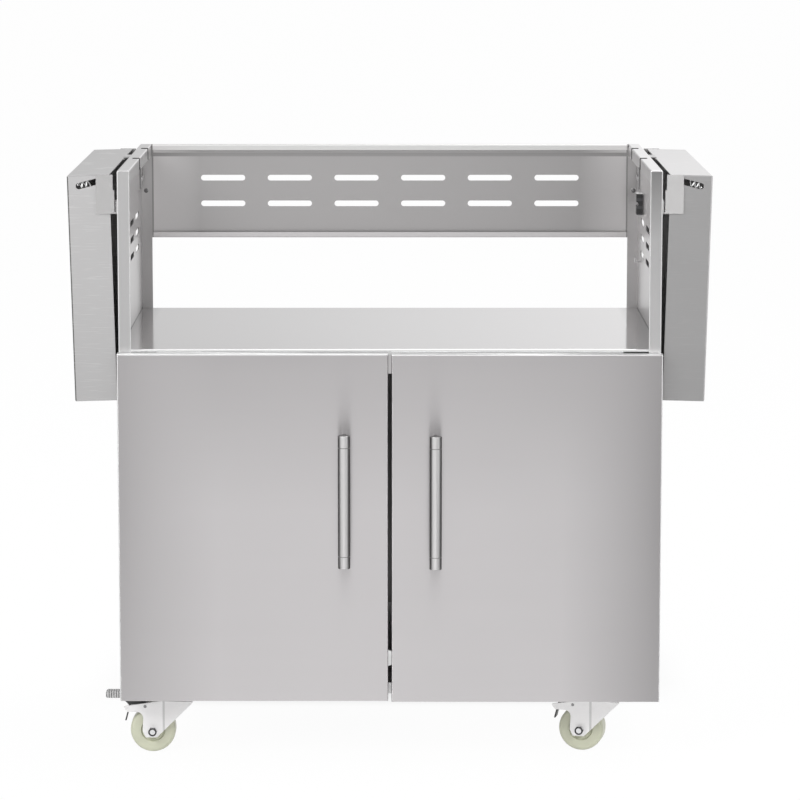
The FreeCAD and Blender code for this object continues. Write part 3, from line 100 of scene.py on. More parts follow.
class GrillCartFinishes(bpy.types.PropertyGroup):
    """Colours and gloss of the cart's finishes."""
    stainless: colour("Stainless", "Brushed sheet of panels and shelves", (0.606, 0.600, 0.601))
    door: colour("Door", "Brushed sheet of the doors", (0.606, 0.588, 0.594))
    # Painted light: the rims, the upward folds of the side sheets, are painted lighter than the sheet they
    # are folded from.
    rim: colour("Rim", "Brushed sheet of the rims", (0.694, 0.685, 0.688))
    vent: colour("Vent panel", "Brushed sheet of the slotted rear panel", (0.675, 0.660, 0.664))
    # Painted highlight: the upper lip faces up and is painted lighter for the light it catches.
    vent_lip_highlight: colour("Vent panel, upper lip", "Brushed lip along its top", (0.78, 0.78, 0.77))
    vent_mill: colour("Vent panel, mill finish", "Unbrushed face between its folds", (0.49, 0.48, 0.48))
    mill: colour("Mill finish", "Unbrushed inside of the grill bay", (0.54, 0.53, 0.53))
    # Painted shade: a near-black colour painted where shade falls, in gaps, channels, notches and corners of
    # the sheets.
    painted_shade: colour("Hollow", "Dull inside of the shelves", (0.12, 0.12, 0.12))
    # Painted highlight: a pale, less metallic colour painted on rounded edges, steps and folds where light
    # catches them.
    edge: colour("Edge", "Bright rounded edges of the sheets", (0.80, 0.80, 0.80))
    stainless_gloss: FloatProperty(name="Sheet roughness", description="How matt the brushed sheet is",
                                   default=0.33, min=0, max=1, subtype="FACTOR")
    bracket: colour("Bracket", "Matt sheet of the shelf brackets", (0.425, 0.420, 0.419))
    deck: colour("Deck", "Smooth sheet of the deck", (0.700, 0.682, 0.688))
    handle: colour("Handle", "Polished tube of the handles", (0.79, 0.78, 0.78))
    zinc: colour("Zinc", "Plated rods and hinges", (0.76, 0.76, 0.77))
    fork: colour("Fork", "Plated casters", (0.88, 0.87, 0.87))
    rivet: colour("Rivet", "Dark rivets and pins", (0.20, 0.20, 0.20))
    # Painted highlight: the spring wire is near-white and not metallic, so that its coils show as bright
    # glints.
    spring_glint: colour("Spring", "Bright wire of the shelf springs", (0.97, 0.97, 0.97))
    nylon: colour("Nylon", "Caster wheels", (0.56, 0.57, 0.445))
    pedal: colour("Pedal", "Brake pedals", (0.53, 0.53, 0.53))
    # Painted shade: the tongue under the pedal pad stands in shade and is painted near-black.
    tongue_shade: colour("Tongue", "Brake tongues under the pedals", (0.05, 0.05, 0.05))
    black: colour("Black", "Clip, magnets and bushes", (0.018, 0.018, 0.019))
    rubber: colour("Rubber", "Bumpers", (0.030, 0.030, 0.031))


class GrillCartSprings(bpy.types.PropertyGroup):
    """The springs that show in the shelf slots."""
    wire: FloatProperty(name="Wire", description="Wire diameter", default=0.0024, min=0.0005, unit="LENGTH")
    coil: FloatProperty(name="Coil", description="Middle diameter of a coil", default=0.0086, min=0.002,
                        unit="LENGTH")
    turns: FloatProperty(name="Turns", description="Turns of a spring", default=2.7, min=1)


class GrillCartStudio(bpy.types.PropertyGroup):
    """Camera and light."""
    lens: FloatProperty(name="Lens", description="Focal length on a 36 mm sensor", default=162.64, min=10)
    distance: FloatProperty(name="Distance", description="Camera in front of the cart", default=6.0537, min=1,
                            unit="LENGTH")
    height: FloatProperty(name="Height", description="Camera above the floor", default=1.4623, min=0,
                          unit="LENGTH")
    pitch: FloatProperty(name="Pitch", description="How far the camera looks down",
                         default=math.radians(8.444), subtype="ANGLE")
    offset: FloatProperty(name="Shift", description="Sideways shift of the frame", default=0.0127)
    floor: colour("Floor", "Pale studio floor", (0.94, 0.94, 0.94))


# Meshes from whole arrays

def grid_mesh(name, points, closed=False):
    """A mesh from a grid of points: corner (i, j) is joined to (i + 1, j), (i + 1, j + 1), (i, j + 1). A
    closed grid, like a ring, joins its last row and column to its first."""
    rows, columns = points.shape[:2]
    left_out = 0 if closed else 1
    i, j = np.meshgrid(np.arange(rows - left_out), np.arange(columns - left_out), indexing="ij")
    i, j = i.ravel(), j.ravel()
    after_i, after_j = (i + 1) % rows, (j + 1) % columns
    faces = np.stack([i * columns + j, after_i * columns + j,
                      after_i * columns + after_j, i * columns + after_j], 1)
    return array_mesh(name, points.reshape(-1, 3), faces)


def array_mesh(name, points, faces):
    """A mesh from an array of points and an array of four-sided faces. Points that meet, as at the ends of
    a tube, become one."""
    mesh = bpy.data.meshes.new(name)
    mesh.from_pydata(points.tolist(), [], faces.tolist())
    shape = bmesh.new()
    shape.from_mesh(mesh)
    bmesh.ops.remove_doubles(shape, verts=shape.verts, dist=MEETING)
    shape.to_mesh(mesh)
    shape.free()
    mesh.validate()
    mesh.polygons.foreach_set("use_smooth", np.ones(len(mesh.polygons), bool))
    mesh.update()
    return mesh


def tube_mesh(name, tubes):
    """One mesh from several tubes, each a grid of points whose columns close round the tube."""
    points, faces, count = [], [], 0
    for grid in tubes:
        rows, columns = grid.shape[:2]
        i, j = np.meshgrid(np.arange(rows - 1), np.arange(columns), indexing="ij")
        i, j = i.ravel(), j.ravel()
        after = (j + 1) % columns
        faces.append(count + np.stack([i * columns + j, i * columns + after,
                                       (i + 1) * columns + after, (i + 1) * columns + j], 1))
        points.append(grid.reshape(-1, 3))
        count += rows * columns
    return array_mesh(name, np.concatenate(points), np.concatenate(faces))


def add_piece(mesh, body, material):
    """Puts a mesh into the scene as a piece that rides on a body."""
    piece = bpy.data.objects.new(mesh.name, mesh)
    bpy.context.scene.collection.objects.link(piece)
    mesh.materials.append(material)
    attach(piece, body)
    return piece


def tube_along(path, radius, sides):
    """A round tube: at each point of the path a circle of the radius stands square to the path's
    direction, which is the difference of the neighbouring points. Both ends close to a point."""
    ahead = np.gradient(path, axis=0)
    ahead /= np.linalg.norm(ahead, axis=1, keepdims=True)
    aslant = np.array([0.31, 0.92, 0.24])
    across = np.cross(ahead, aslant)
    across /= np.linalg.norm(across, axis=1, keepdims=True)
    up = np.cross(ahead, across)
    turn = np.linspace(0, 2 * math.pi, sides, endpoint=False)
    ring = np.cos(turn)[None, :, None] * across[:, None, :] + np.sin(turn)[None, :, None] * up[:, None, :]
    points = path[:, None, :] + radius * ring
    first = np.repeat(path[:1, None, :], sides, axis=1)
    last = np.repeat(path[-1:, None, :], sides, axis=1)
    return np.concatenate([first, points, last])


# Shader maths

class Wire:
    """An output socket; arithmetic on it adds Math nodes to its tree."""

    def __init__(self, tree, socket):
        self.tree = tree
        self.socket = socket

    def maths(self, operation, first, second):
        return self.tree.node("ShaderNodeMath", {"operation": operation}, {0: first, 1: second})

    def __add__(self, other):
        return self.maths("ADD", self, other)

    def __radd__(self, other):
        return self.maths("ADD", other, self)

    def __sub__(self, other):
        return self.maths("SUBTRACT", self, other)

    def __rsub__(self, other):
        return self.maths("SUBTRACT", other, self)

    def __mul__(self, other):
        return self.maths("MULTIPLY", self, other)

    def __rmul__(self, other):
        return self.maths("MULTIPLY", other, self)

    def __truediv__(self, other):
        return self.maths("DIVIDE", self, other)

    def __rtruediv__(self, other):
        return self.maths("DIVIDE", other, self)

    def __gt__(self, other):
        return self.maths("GREATER_THAN", self, other)

    def __lt__(self, other):
        return self.maths("LESS_THAN", self, other)

    def __abs__(self):
        return self.maths("ABSOLUTE", self, 0.0)


class Tree:
    """The nodes of one material or of the world."""

    def __init__(self, owner):
        owner.use_nodes = True
        self.tree = owner.node_tree
        self.tree.nodes.clear()

    def node(self, kind, settings=None, sockets=None, out=0):
        """Adds a node: its settings first, then a value or a link for each of its sockets."""
        node = self.tree.nodes.new(kind)
        for name, value in (settings or {}).items():
            if name == "stops":
                self.set_stops(node.color_ramp, value)
            else:
                setattr(node, name, value)
        for key, value in (sockets or {}).items():
            if isinstance(value, Wire):
                self.tree.links.new(value.socket, node.inputs[key])
            else:
                node.inputs[key].default_value = value
        return Wire(self, node.outputs[out]) if len(node.outputs) else node

    def set_stops(self, ramp, stops):
        while len(ramp.elements) < len(stops):
            ramp.elements.new(1.0)
        for element, (place, value) in zip(ramp.elements, stops):
            element.position = place
            element.color = (value, value, value, 1.0)

    def place(self):
        return self.node("ShaderNodeTexCoord", out="Object")

    def noise(self, stretch, detail=3.0, roughness=0.55):
        """Noise whose grain is drawn out along an axis: a small stretch is a long grain."""
        where = self.node("ShaderNodeMapping", {"vector_type": "POINT"},
                          {"Vector": self.place(), "Scale": stretch})
        return self.node("ShaderNodeTexNoise", {}, {"Vector": where, "Scale": 1.0, "Detail": detail,
                                                    "Roughness": roughness}, out="Fac")

    def ramp(self, value, stops):
        return self.node("ShaderNodeValToRGB", {"stops": stops}, {"Fac": value})

    def blend(self, factor, first, second):
        """A colour between two colours."""
        settings = {"data_type": "RGBA", "blend_type": "MIX"}
        first = first if isinstance(first, Wire) else (*first, 1.0)
        second = second if isinstance(second, Wire) else (*second, 1.0)
        return self.node("ShaderNodeMix", settings, {"Factor": factor, 6: first, 7: second}, out=2)

    def bump(self, height, strength, distance):
        return self.node("ShaderNodeBump", {}, {"Height": height, "Strength": strength, "Distance": distance})

    def along(self, axis):
        return self.node("ShaderNodeSeparateXYZ", {}, {0: self.place()}, out=axis)

    def inside(self, box, lean=0.0):
        """One inside a box, which is mirrored about the middle plane of the cart and leans like a folded
        shelf: X grows by the lean times the depth below the rod, Z by the lean times the way out from it."""
        result = None
        for axis, (low, high) in zip("XYZ", box):
            along = self.along(axis)
            if axis == "X":
                along = abs(along)
            if axis == "X" and lean:
                along = along + (ROD_HEIGHT - self.along("Z")) * lean
            if axis == "Z" and lean:
                along = along + (abs(self.along("X")) - ROD_OUT) * lean
            within = (along > low) * (high > along)
            result = within if result is None else result * within
        return result

    def between(self, value, start, end):
        """Zero up to the start, one from the end on, and an even climb between them."""
        return self.ramp((value - start) / (end - start), [(0.0, 0.0), (1.0, 1.0)])

    def graded(self, span, low, high):
        """A colour that runs from one to another over a span of heights."""
        return self.blend(self.between(self.along("Z"), *span), low, high)

    def surface(self, shader):
        self.node("ShaderNodeOutputMaterial", {}, {"Surface": shader})


def shade(tone, factor):
    """A colour made darker or lighter."""
    return tuple(min(1.0, channel * factor) for channel in tone)


def shades(tone, *factors):
    """Several shades of a colour."""
    return tuple(shade(tone, factor) for factor in factors)


def drawn_out(axis, across, along):
    """The scales of a grain that is fine across an axis and long along it."""
    return tuple(along if name == axis else across for name in "XYZ")


class Patch(NamedTuple):
    """A painted part of a sheet: its ranges on X, Y and Z, its colour, or a pair of colours from the foot of
    that box to its head, how much less metallic it is, and how far it leans with a folded shelf."""
    box: tuple
    tone: tuple
    matt: float = 0.0
    lean: float = 0.0

    def paint(self, tree, base, metal):
        """The colour and the share of metal with this patch over them."""
        within = tree.inside(self.box, self.lean)
        tone = tree.graded(self.box[2], *self.tone) if len(self.tone) == 2 else self.tone
        base = tree.blend(within, base, tone)
        if self.matt:
            metal = metal - within * self.matt
        return base, metal


def brushed(name, tone, roughness, along, anisotropy=0.0, turn=0.0, lines=1.0, smudge=0.05, patches=(),
            aside=None, trims=(), streaks=0.0):
    """Brushed metal: noise drawn out along X, Y or Z changes colour, gloss and height a little, and a
    soft cloud of wiped smudges changes the gloss. Lines is how strong the grain is. The patches are painted
    first. Aside gives a start and an end on X between which a colour comes in, or a pair of colours over
    the height of a door: painted light or shade towards the ends. The trims are patches that go over it,
    painted highlights and painted shade. Streaks is how much lighter the sparse level streaks are."""
    material = bpy.data.materials.new(name)
    tree = Tree(material)
    streak = tree.noise(drawn_out(along, 150.0, 1.2), 4.0, 0.65)
    hair = tree.noise(drawn_out(along, 900.0, 6.0), 2.0, 0.5)
    grain = streak * 0.55 + hair * 0.45
    cloud = tree.noise((3.1, 3.4, 2.7), 2.0, 0.5)
    spread = 0.06 * lines
    base = tree.blend(tree.ramp(grain, [(0.30, 0.0), (0.70, 1.0)]), *shades(tone, 1 - spread, 1 + spread))
    gloss = roughness - 0.09 * lines + grain * 0.18 * lines + (cloud - 0.5) * smudge * 2
    metal = 1.0
    for patch in patches:
        base, metal = patch.paint(tree, base, metal)
    if aside:
        start, end, far = aside
        share = tree.between(abs(tree.along("X")), start, end)
        if len(far) == 2:
            far = tree.graded(DOOR_HEIGHTS, *far)
        base = tree.blend(share, base, far)
    for patch in trims:
        base, metal = patch.paint(tree, base, metal)
    if streaks:
        light = tree.ramp(tree.noise((26.0, 26.0, 430.0), 2.0, 0.5), [(0.57, 0.0), (0.68, 1.0)])
        base = tree.blend(light * streaks, base, (1.0, 1.0, 1.0))
    normal = tree.bump(grain, 0.10 * lines, 0.4 * MM)
    tree.surface(tree.node("ShaderNodeBsdfPrincipled", {}, {
        "Base Color": base, "Metallic": metal, "Roughness": gloss, "Normal": normal,
        "Anisotropic": anisotropy, "Anisotropic Rotation": turn,
    }))
    return material


def polished(name, tone, roughness, seams):
    """A polished upright handle: fine upright hairlines, and a painted reflection in which the colour falls
    off towards both flanks. The end faces of its posts and their stems behind the tube are painted darker,
    painted shade, and the seams between tube and posts are darker."""
    material = bpy.data.materials.new(name)
    tree = Tree(material)
    hair = tree.noise(drawn_out("Z", 900.0, 5.0), 2.0, 0.5)
    flank = abs(abs(tree.along("X")) - HANDLE_OUT) / HANDLE_RADIUS
    fall = tree.ramp(flank, [(0.50, 0.0), (0.82, 1.0)])
    base = tree.blend(fall, tone, shade(tone, 0.16))
    height = tree.along("Z")
    foot, head = seams
    stem = tree.along("Y") > STEM_FRONT
    end_face = POST_REACH - 0.5 * MM
    closed = (height > head + end_face) + (foot - end_face > height)
    base = tree.blend((stem + closed) > 0.5, base, shade(tone, 0.30))
    half_seam = 0.6 * MM
    seam = (half_seam > abs(height - head)) + (half_seam > abs(height - foot))
    base = tree.blend(seam, base, shade(tone, 0.45))
    tree.surface(tree.node("ShaderNodeBsdfPrincipled", {}, {
        "Base Color": base, "Metallic": 1.0, "Roughness": roughness - 0.01 + hair * 0.02,
    }))
    return material


def plated(name, tone, roughness, metal, crease=None):
    """Plated steel: a fine mottle in colour and gloss. A crease is a darker upright line between two places
    on X, painted shade in a fold."""
    material = bpy.data.materials.new(name)
    tree = Tree(material)
    mottle = tree.noise((220.0, 220.0, 220.0), 3.0, 0.6)
    cloud = tree.noise((28.0, 28.0, 28.0), 2.0, 0.5)
    mixed = mottle * 0.5 + cloud * 0.5
    base = tree.blend(mixed, *shades(tone, 0.93, 1.05))
    if crease:
        base = tree.blend(tree.inside((crease, WHOLE, WHOLE)), base, shade(tone, 0.72))
    tree.surface(tree.node("ShaderNodeBsdfPrincipled", {}, {
        "Base Color": base, "Metallic": metal, "Roughness": roughness - 0.06 + mixed * 0.12,
        "Normal": tree.bump(mottle, 0.05, 0.3 * MM),
    }))
    return material


def moulded(name, tone, roughness, grain, depth, second=None, where=None, ribs=None):
    """Moulded plastic or rubber: a fine grain and a faint cloud of colour. Inside the box where, the
    second colour is used. Ribs are dark stripes across an axis: the axis, where they start, their pitch
    and the dark share of it."""
    material = bpy.data.materials.new(name)
    tree = Tree(material)
    texture = tree.noise((grain, grain, grain), 3.0, 0.6)
    cloud = tree.noise((18.0, 18.0, 18.0), 2.0, 0.5)
    base = tree.blend(cloud, *shades(tone, 0.88, 1.10))
    if ribs:
        axis, start, pitch, share = ribs
        phase = (start - abs(tree.along(axis))) / pitch
        base = tree.blend(share > phase.maths("FRACT", phase, 0.0), base, shade(tone, 0.35))
    if where:
        base = tree.blend(tree.inside(where), base, second)
    tree.surface(tree.node("ShaderNodeBsdfPrincipled", {}, {
        "Base Color": base, "Metallic": 0.0, "Roughness": roughness - 0.05 + texture * 0.10,
        "Normal": tree.bump(texture, depth, 0.3 * MM),
    }))
    return material


def dress(material, *nodes):
    """Gives CAD nodes a finish."""
    for node in nodes:
        for slot in NODES[node].material_slots:
            slot.material = material


# How sheet that is brushed from side to side takes the light

LEVEL_BRUSH = {"along": "X", "anisotropy": 0.6, "turn": 0.25, "lines": 0.5}


# Operators

class GRILLCART_OT_carcass(bpy.types.Operator):
    """Finish the panels, the deck and the shelf brackets"""
    bl_idname = "grillcart.carcass"
    bl_label = "Carcass"

    def execute(self, context):
        finish = context.scene.grillcart_finishes
        dress(self.vent(finish), "rear_vent_panel")
        dress(self.across(finish), "lower_back_panel", "bottom_panel", "rim_tabs", "hose_hook")
        for side in SIDES:
            dress(self.side(finish, side), f"side_panel_{side}")
        dress(self.deck(finish), "deck_panel")
        # Painted light: the right brackets are a lighter copy and the left ones a darker copy of the bracket
        # colour, for how light falls on either side.
        for side, tone in (("left", 0.93), ("right", 1.09)):
            bracket = plated(f"matt_bracket_{side}", shade(finish.bracket, tone), 0.48, 0.2)
            dress(bracket, f"shelf_bracket_{side}_front", f"shelf_bracket_{side}_rear")
        dress(bracket, "bracket_backings")
        dress(plated("bright_fastener", finish.zinc, 0.3, 1.0), "bracket_bolts")
        dress(plated("dark_rivet", finish.rivet, 0.4, 0.8), "panel_rivets")
        return {"FINISHED"}

    def vent(self, finish):
        """The slotted panel: a painted highlight on the lip along its top, an unbrushed face with a painted
        reflection that grows paler towards both ends, and painted shade in lines at the ends and under the
        lip."""
        lip_back, face_back, end = 0.309, 0.3148, 0.4172
        face = (lip_back, face_back)
        shaded_line = shade(finish.vent_mill, 0.80)
        return brushed(
            "brushed_vent", finish.vent, finish.stainless_gloss, **LEVEL_BRUSH,
            patches=[
                Patch((WHOLE, face, WHOLE), finish.vent_mill),
                Patch((WHOLE, up_to(lip_back), over(0.95)), finish.vent_lip_highlight),
            ],
            aside=(0.335, 0.420, shade(finish.vent_mill, 1.62)),
            trims=[
                Patch((over(end), up_to(face_back), WHOLE), shaded_line),
                Patch((up_to(end), face, (0.9515, 0.9580)), shaded_line),
            ])

    def across(self, finish):
        """Sheet brushed from side to side, with a painted highlight on the front step and painted shade on
        the back inside the cabinet.
        """
        step_top, back_top = 0.15, 0.66
        step = (WHOLE, up_to(-0.2420), up_to(step_top))
        cabinet_back = (WHOLE, (0.3000, 0.3142), (step_top, back_top))
        return brushed(
            "brushed_across", finish.stainless, finish.stainless_gloss, **LEVEL_BRUSH,
            patches=[
                Patch(step, finish.edge, 0.35),
                Patch(cabinet_back, shade(finish.stainless, 0.45)),
            ])

    def side(self, finish, side):
        """A side sheet with lit and shaded copies of its tones on either side, painted light and shade: the
        unbrushed face of the bay, painted darker low down, the rim and the front post from its foot to its
        top.
        Painted highlights on the post, and painted shade in a channel under the rim, a line at the deck and
        the notches."""
        # Lit and shaded copies of the bay, rim and post tones on either side: painted light and shade.
        bay_low, bay_high, rim, post_low, post_middle, post_high = {
            "left": (0.84, 1.20, 1.0, 1.08, 1.03, 1.0),
            "right": (1.0, 1.05, 1.18, 1.50, 1.22, 0.62),
        }[side]
        inner = (0.4205, 0.4394)
        post, front = (0.4212, 0.4384), up_to(-0.2425)
        post_foot, post_turn = 0.600, 0.860
        dark = shade(finish.painted_shade, 0.7)
        notches = [((0.4195, 0.4325), (y, y + 0.9 * MM), (0.9530, 0.9735)) for y in (0.0130, 0.2260)]
        return brushed(
            f"brushed_side_{side}", finish.stainless, finish.stainless_gloss, "Y", lines=0.25,
            patches=[
                Patch((inner, (-0.2426, 0.3130), (0.6800, RIM_FOOT)), shades(finish.mill, bay_low, bay_high)),
                Patch((WHOLE, WHOLE, over(RIM_FOOT)), shade(finish.rim, rim)),
                Patch((post, front, (post_foot, post_turn)), shades(finish.stainless, post_low, post_middle)),
                Patch((post, front, (post_turn, RIM_FOOT)), shades(finish.stainless, post_middle, post_high)),
                Patch(((0.4195, 0.4212), front, up_to(RIM_FOOT)), finish.edge, 0.45),
                Patch(((0.4384, 0.4405), up_to(-0.2427), up_to(RIM_FOOT)), finish.edge, 0.5),
                Patch(((0.4216, 0.4392), (-0.2429, 0.3125), (0.9535, RIM_FOOT)), dark),
                Patch((inner, (-0.2420, 0.3125), (0.6825, 0.6848)), finish.painted_shade),
                *[Patch(notch, dark) for notch in notches],
            ])

    def deck(self, finish):
        """Smooth sheet with a painted reflection that darkens both ends, a painted highlight on its nose and
        painted shade in the corners under it.
        """
        front, nose_foot = up_to(-0.2405), 0.6740
        return brushed(
            "brushed_deck", finish.deck, 0.11, "X", lines=0.5,
            aside=(0.402, 0.432, shade(finish.deck, 0.45)),
            trims=[
                Patch((WHOLE, front, over(nose_foot)), finish.edge, 0.25),
                Patch((over(0.379), front, (nose_foot, 0.6790)), finish.painted_shade, -0.25),
            ])


class GRILLCART_OT_doors(bpy.types.Operator):
    """Finish the doors and their handles"""
    bl_idname = "grillcart.doors"
    bl_label = "Doors and handles"

    def execute(self, context):
        finish = context.scene.grillcart_finishes
        fixing = plated("plated_fixing", finish.zinc, 0.35, 1.0)
        for side in SIDES:
            dress(self.skin(finish, side), f"door_skin_{side}", f"door_liner_{side}")
            seams = [float(corner[2]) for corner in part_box(f"handle_tube_{side}")]
            tube = polished(f"polished_handle_{side}", finish.handle, 0.40, seams)
            dress(tube, f"handle_tube_{side}", f"handle_posts_{side}")
            dress(fixing, f"handle_screws_{side}", f"strike_plate_{side}")
        dress(fixing, "hinge_lugs", "hinge_pins")
        return {"FINISHED"}

    def skin(self, finish, side):
        """Level brushing with a painted reflection: pale below and darker towards the top, and another shade
        towards the outer side, darker on the right door. Painted highlights along the top and the outer
        edges."""
        turn_height, top = 0.42, 0.69
        pale = shade(finish.door, 1.135)
        # Lighter and darker copies towards the outer side of each door: painted reflection.
        far = {"left": (0.92, 1.09), "right": (0.80, 1.04)}[side]
        return brushed(
            f"brushed_door_{side}", finish.door, 0.35, "X", anisotropy=1.0, turn=0.25, lines=0.3, smudge=0.03,
            patches=[
                Patch((WHOLE, WHOLE, up_to(turn_height)), pale),
                Patch((WHOLE, WHOLE, (turn_height, top)), (pale, shade(finish.door, 0.945))),
            ],
            aside=(0.28, 0.43, shades(finish.door, *far)),
            trims=[
                Patch((WHOLE, WHOLE, over(0.6763)), finish.edge, 0.3),
                Patch((over(0.4398), up_to(-0.2660), WHOLE), finish.edge, 0.4),
            ])


class GRILLCART_OT_shelves(bpy.types.Operator):
    """Finish the fold-down shelves and their rods"""
    bl_idname = "grillcart.shelves"
    bl_label = "Shelves"

    def execute(self, context):
        finish = context.scene.grillcart_finishes
        rod = plated("plated_rod", finish.zinc, 0.28, 1.0)
        for side in SIDES:
            dress(self.pan(finish, side), f"shelf_pan_{side}")
            dress(rod, f"shelf_rod_{side}")
        return {"FINISHED"}

    def pan(self, finish, side):
        """Matt sheet with lit and shaded copies of its tones on either side: painted shade inside the pan,
        and painted light and shade on the front skirt, the end at the rod and the outer side of the skirt.
        Sparse level streaks are lighter."""
        # Lit and shaded copies of the pan's tones on either side: painted light and shade.
        inside, skirt, rod_end, outer, streaks = {
            "left": (0.66, 1.08, 0.96, 0.30, 0.16),
            "right": (0.86, 0.90, 1.10, 1.15, 0.05),
        }[side]
        skirt_back, skirt_top = -0.2337, 0.9636
        tones = (
            (((0.40, 0.5204), (skirt_back, 0.2997), (0.5982, 0.9647)), inside),
            ((WHOLE, up_to(skirt_back), up_to(skirt_top)), skirt),
            ((WHOLE, WHOLE, over(skirt_top)), rod_end),
            ((over(0.5190), up_to(-0.2325), up_to(skirt_top)), outer),
        )
        return brushed(
            f"brushed_shelf_{side}", finish.stainless, finish.stainless_gloss + 0.06, "X", lines=0.6,
            patches=[Patch(box, shade(finish.stainless, tone), lean=SHELF_LEAN) for box, tone in tones],
            streaks=streaks)


class GRILLCART_OT_springs(bpy.types.Operator):
    """Add the springs that show in the slots of the shelves"""
    bl_idname = "grillcart.springs"
    bl_label = "Shelf springs"

    def execute(self, context):
        springs = context.scene.grillcart_springs
        # The wire is white and not metallic: painted glints on the coils.
        wire = plated("spring_wire", context.scene.grillcart_finishes.spring_glint, 0.3, 0.0)
        for side, hand in SIDES.items():
            rod = np.array([ROD_OUT * hand, 0.0, ROD_HEIGHT])
            ahead = np.array([SLOT_RUN * hand, 0.0, SLOT_FALL])
            coils = [self.coil(springs, rod + [0.0, y, 0.0], ahead) for y in SPRING_PLACES]
            mesh = tube_mesh(f"spring_{side}", coils)
            piece = add_piece(mesh, f"shelf_{side}", wire)
            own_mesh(piece)
        return {"FINISHED"}

    def coil(self, springs, start, ahead):
        """A round wire along a helix: its middle moves ahead evenly from 15 mm to 35 mm beyond the rod while
        it turns about that line."""
        side = np.array([0.0, 1.0, 0.0])
        up = np.cross(ahead, side)
        share = np.linspace(0, 1, int(28 * springs.turns))[:, None]
        turn = 2 * math.pi * springs.turns * share
        middle = start + ahead * (SPRING_START + SPRING_LENGTH * share)
        helix = middle + springs.coil / 2 * (np.cos(turn) * up + np.sin(turn) * side)
        return tube_along(helix, springs.wire / 2, 10)


class GRILLCART_OT_hangers(bpy.types.Operator):
    """Add the short wires that hang from the rims inside the bay"""
    bl_idname = "grillcart.hangers"
    bl_label = "Rim wires"

    def execute(self, context):
        wire = plated("hanger_wire", shade(context.scene.grillcart_finishes.rivet, 1.3), 0.3, 0.6)
        for side, hand in SIDES.items():
            add_piece(self.wire(f"rim_wire_{side}", hand), "cart", wire)
        return {"FINISHED"}

    def wire(self, name, hand):
        """A straight round wire of 2.6 mm: it runs down along the lip of the rim, from the notch at its
        middle to 52 mm below the rim."""
        out, back, head, foot = 0.4187 * hand, 0.0040, 0.958, 0.921
        height = np.linspace(head, foot, 12)
        path = np.stack([np.full_like(height, out), np.full_like(height, back), height], 1)
        return tube_mesh(name, [tube_along(path, 1.3 * MM, 14)])


class GRILLCART_OT_nut_rings(bpy.types.Operator):
    """Add the dark locking rings of the axle nuts"""
    bl_idname = "grillcart.nut_rings"
    bl_label = "Nut rings"

    def execute(self, context):
        ring = moulded("nut_ring", context.scene.grillcart_finishes.black, 0.4, 300.0, 0.05)
        for corner in CORNERS:
            swivel = FRONT_RIGHT_SWIVEL if corner == "fr" else 0.0
            middle = np.mean(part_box(f"wheel_{corner}"), axis=0)
            mesh = self.ring(f"nut_ring_{corner}", middle, swivel)
            add_piece(mesh, f"fork_{corner}", ring)
        return {"FINISHED"}

    def ring(self, name, middle, swivel):
        """A flat ring turned about the axle: its section is a rectangle with bevelled front corners, 4.5 to
        6.9 mm from the axis, on the collar 0.8 mm behind the end of the axle, 34 mm before the middle of the
        wheel. It stands turned with its caster."""
        section = np.array([(6.9, 0.8), (6.9, 0.35), (6.4, 0.1), (4.8, 0.1), (4.5, 0.25), (4.5, 0.8)]) * MM
        turn = np.linspace(0, 2 * math.pi, 48, endpoint=False)[:, None]
        across = section[None, :, 0] * np.cos(turn)
        up = section[None, :, 0] * np.sin(turn)
        along = np.repeat(section[None, :, 1], len(turn), axis=0) - AXLE_REACH
        x = across * math.cos(swivel) + along * math.sin(swivel)
        y = along * math.cos(swivel) - across * math.sin(swivel)
        points = middle + np.stack([x, y, up], 2)
        return grid_mesh(name, points, closed=True)


class GRILLCART_OT_casters(bpy.types.Operator):
    """Finish the casters and their brakes"""
    bl_idname = "grillcart.casters"
    bl_label = "Casters"

    def execute(self, context):
        finish = context.scene.grillcart_finishes
        # Painted shade along the fold of each front fork leg.
        creases = {"fl": (0.3735, 0.3772), "fr": (0.3312, 0.3349)}
        front = {
            corner: plated(f"zinc_plate_{corner}", finish.fork, 0.36, 0.35, crease)
            for corner, crease in creases.items()
        }
        rear = plated("zinc_plate_rear", finish.fork, 0.36, 0.35)
        dark = plated("dark_pin", shade(finish.rivet, 1.5), 0.4, 0.8)
        bright = plated("bright_bolt", finish.zinc, 0.24, 1.0)
        nylon = moulded("nylon_wheel", finish.nylon, 0.34, 160.0, 0.05)
        # Painted shade: the tongue below the pad is near-black, and dark stripes at the ribs stand for the
        # shade in their grooves.
        under_pad = (WHOLE, WHOLE, up_to(0.0875))
        pedal = moulded("moulded_pedal", finish.pedal, 0.45, 260.0, 0.10, finish.tongue_shade, under_pad,
                        ribs=("X", 0.4672, 4 * MM, 0.35))
        for corner in CORNERS:
            dress(front.get(corner, rear), f"caster_plate_{corner}", f"caster_fork_{corner}")
            dress(bright, f"axle_{corner}")
            dress(nylon, f"wheel_{corner}")
        for corner in front:
            dress(pedal, f"brake_pedal_{corner}")
            dress(dark, f"pedal_pin_{corner}")
        dress(bright, "caster_bolts")
        return {"FINISHED"}


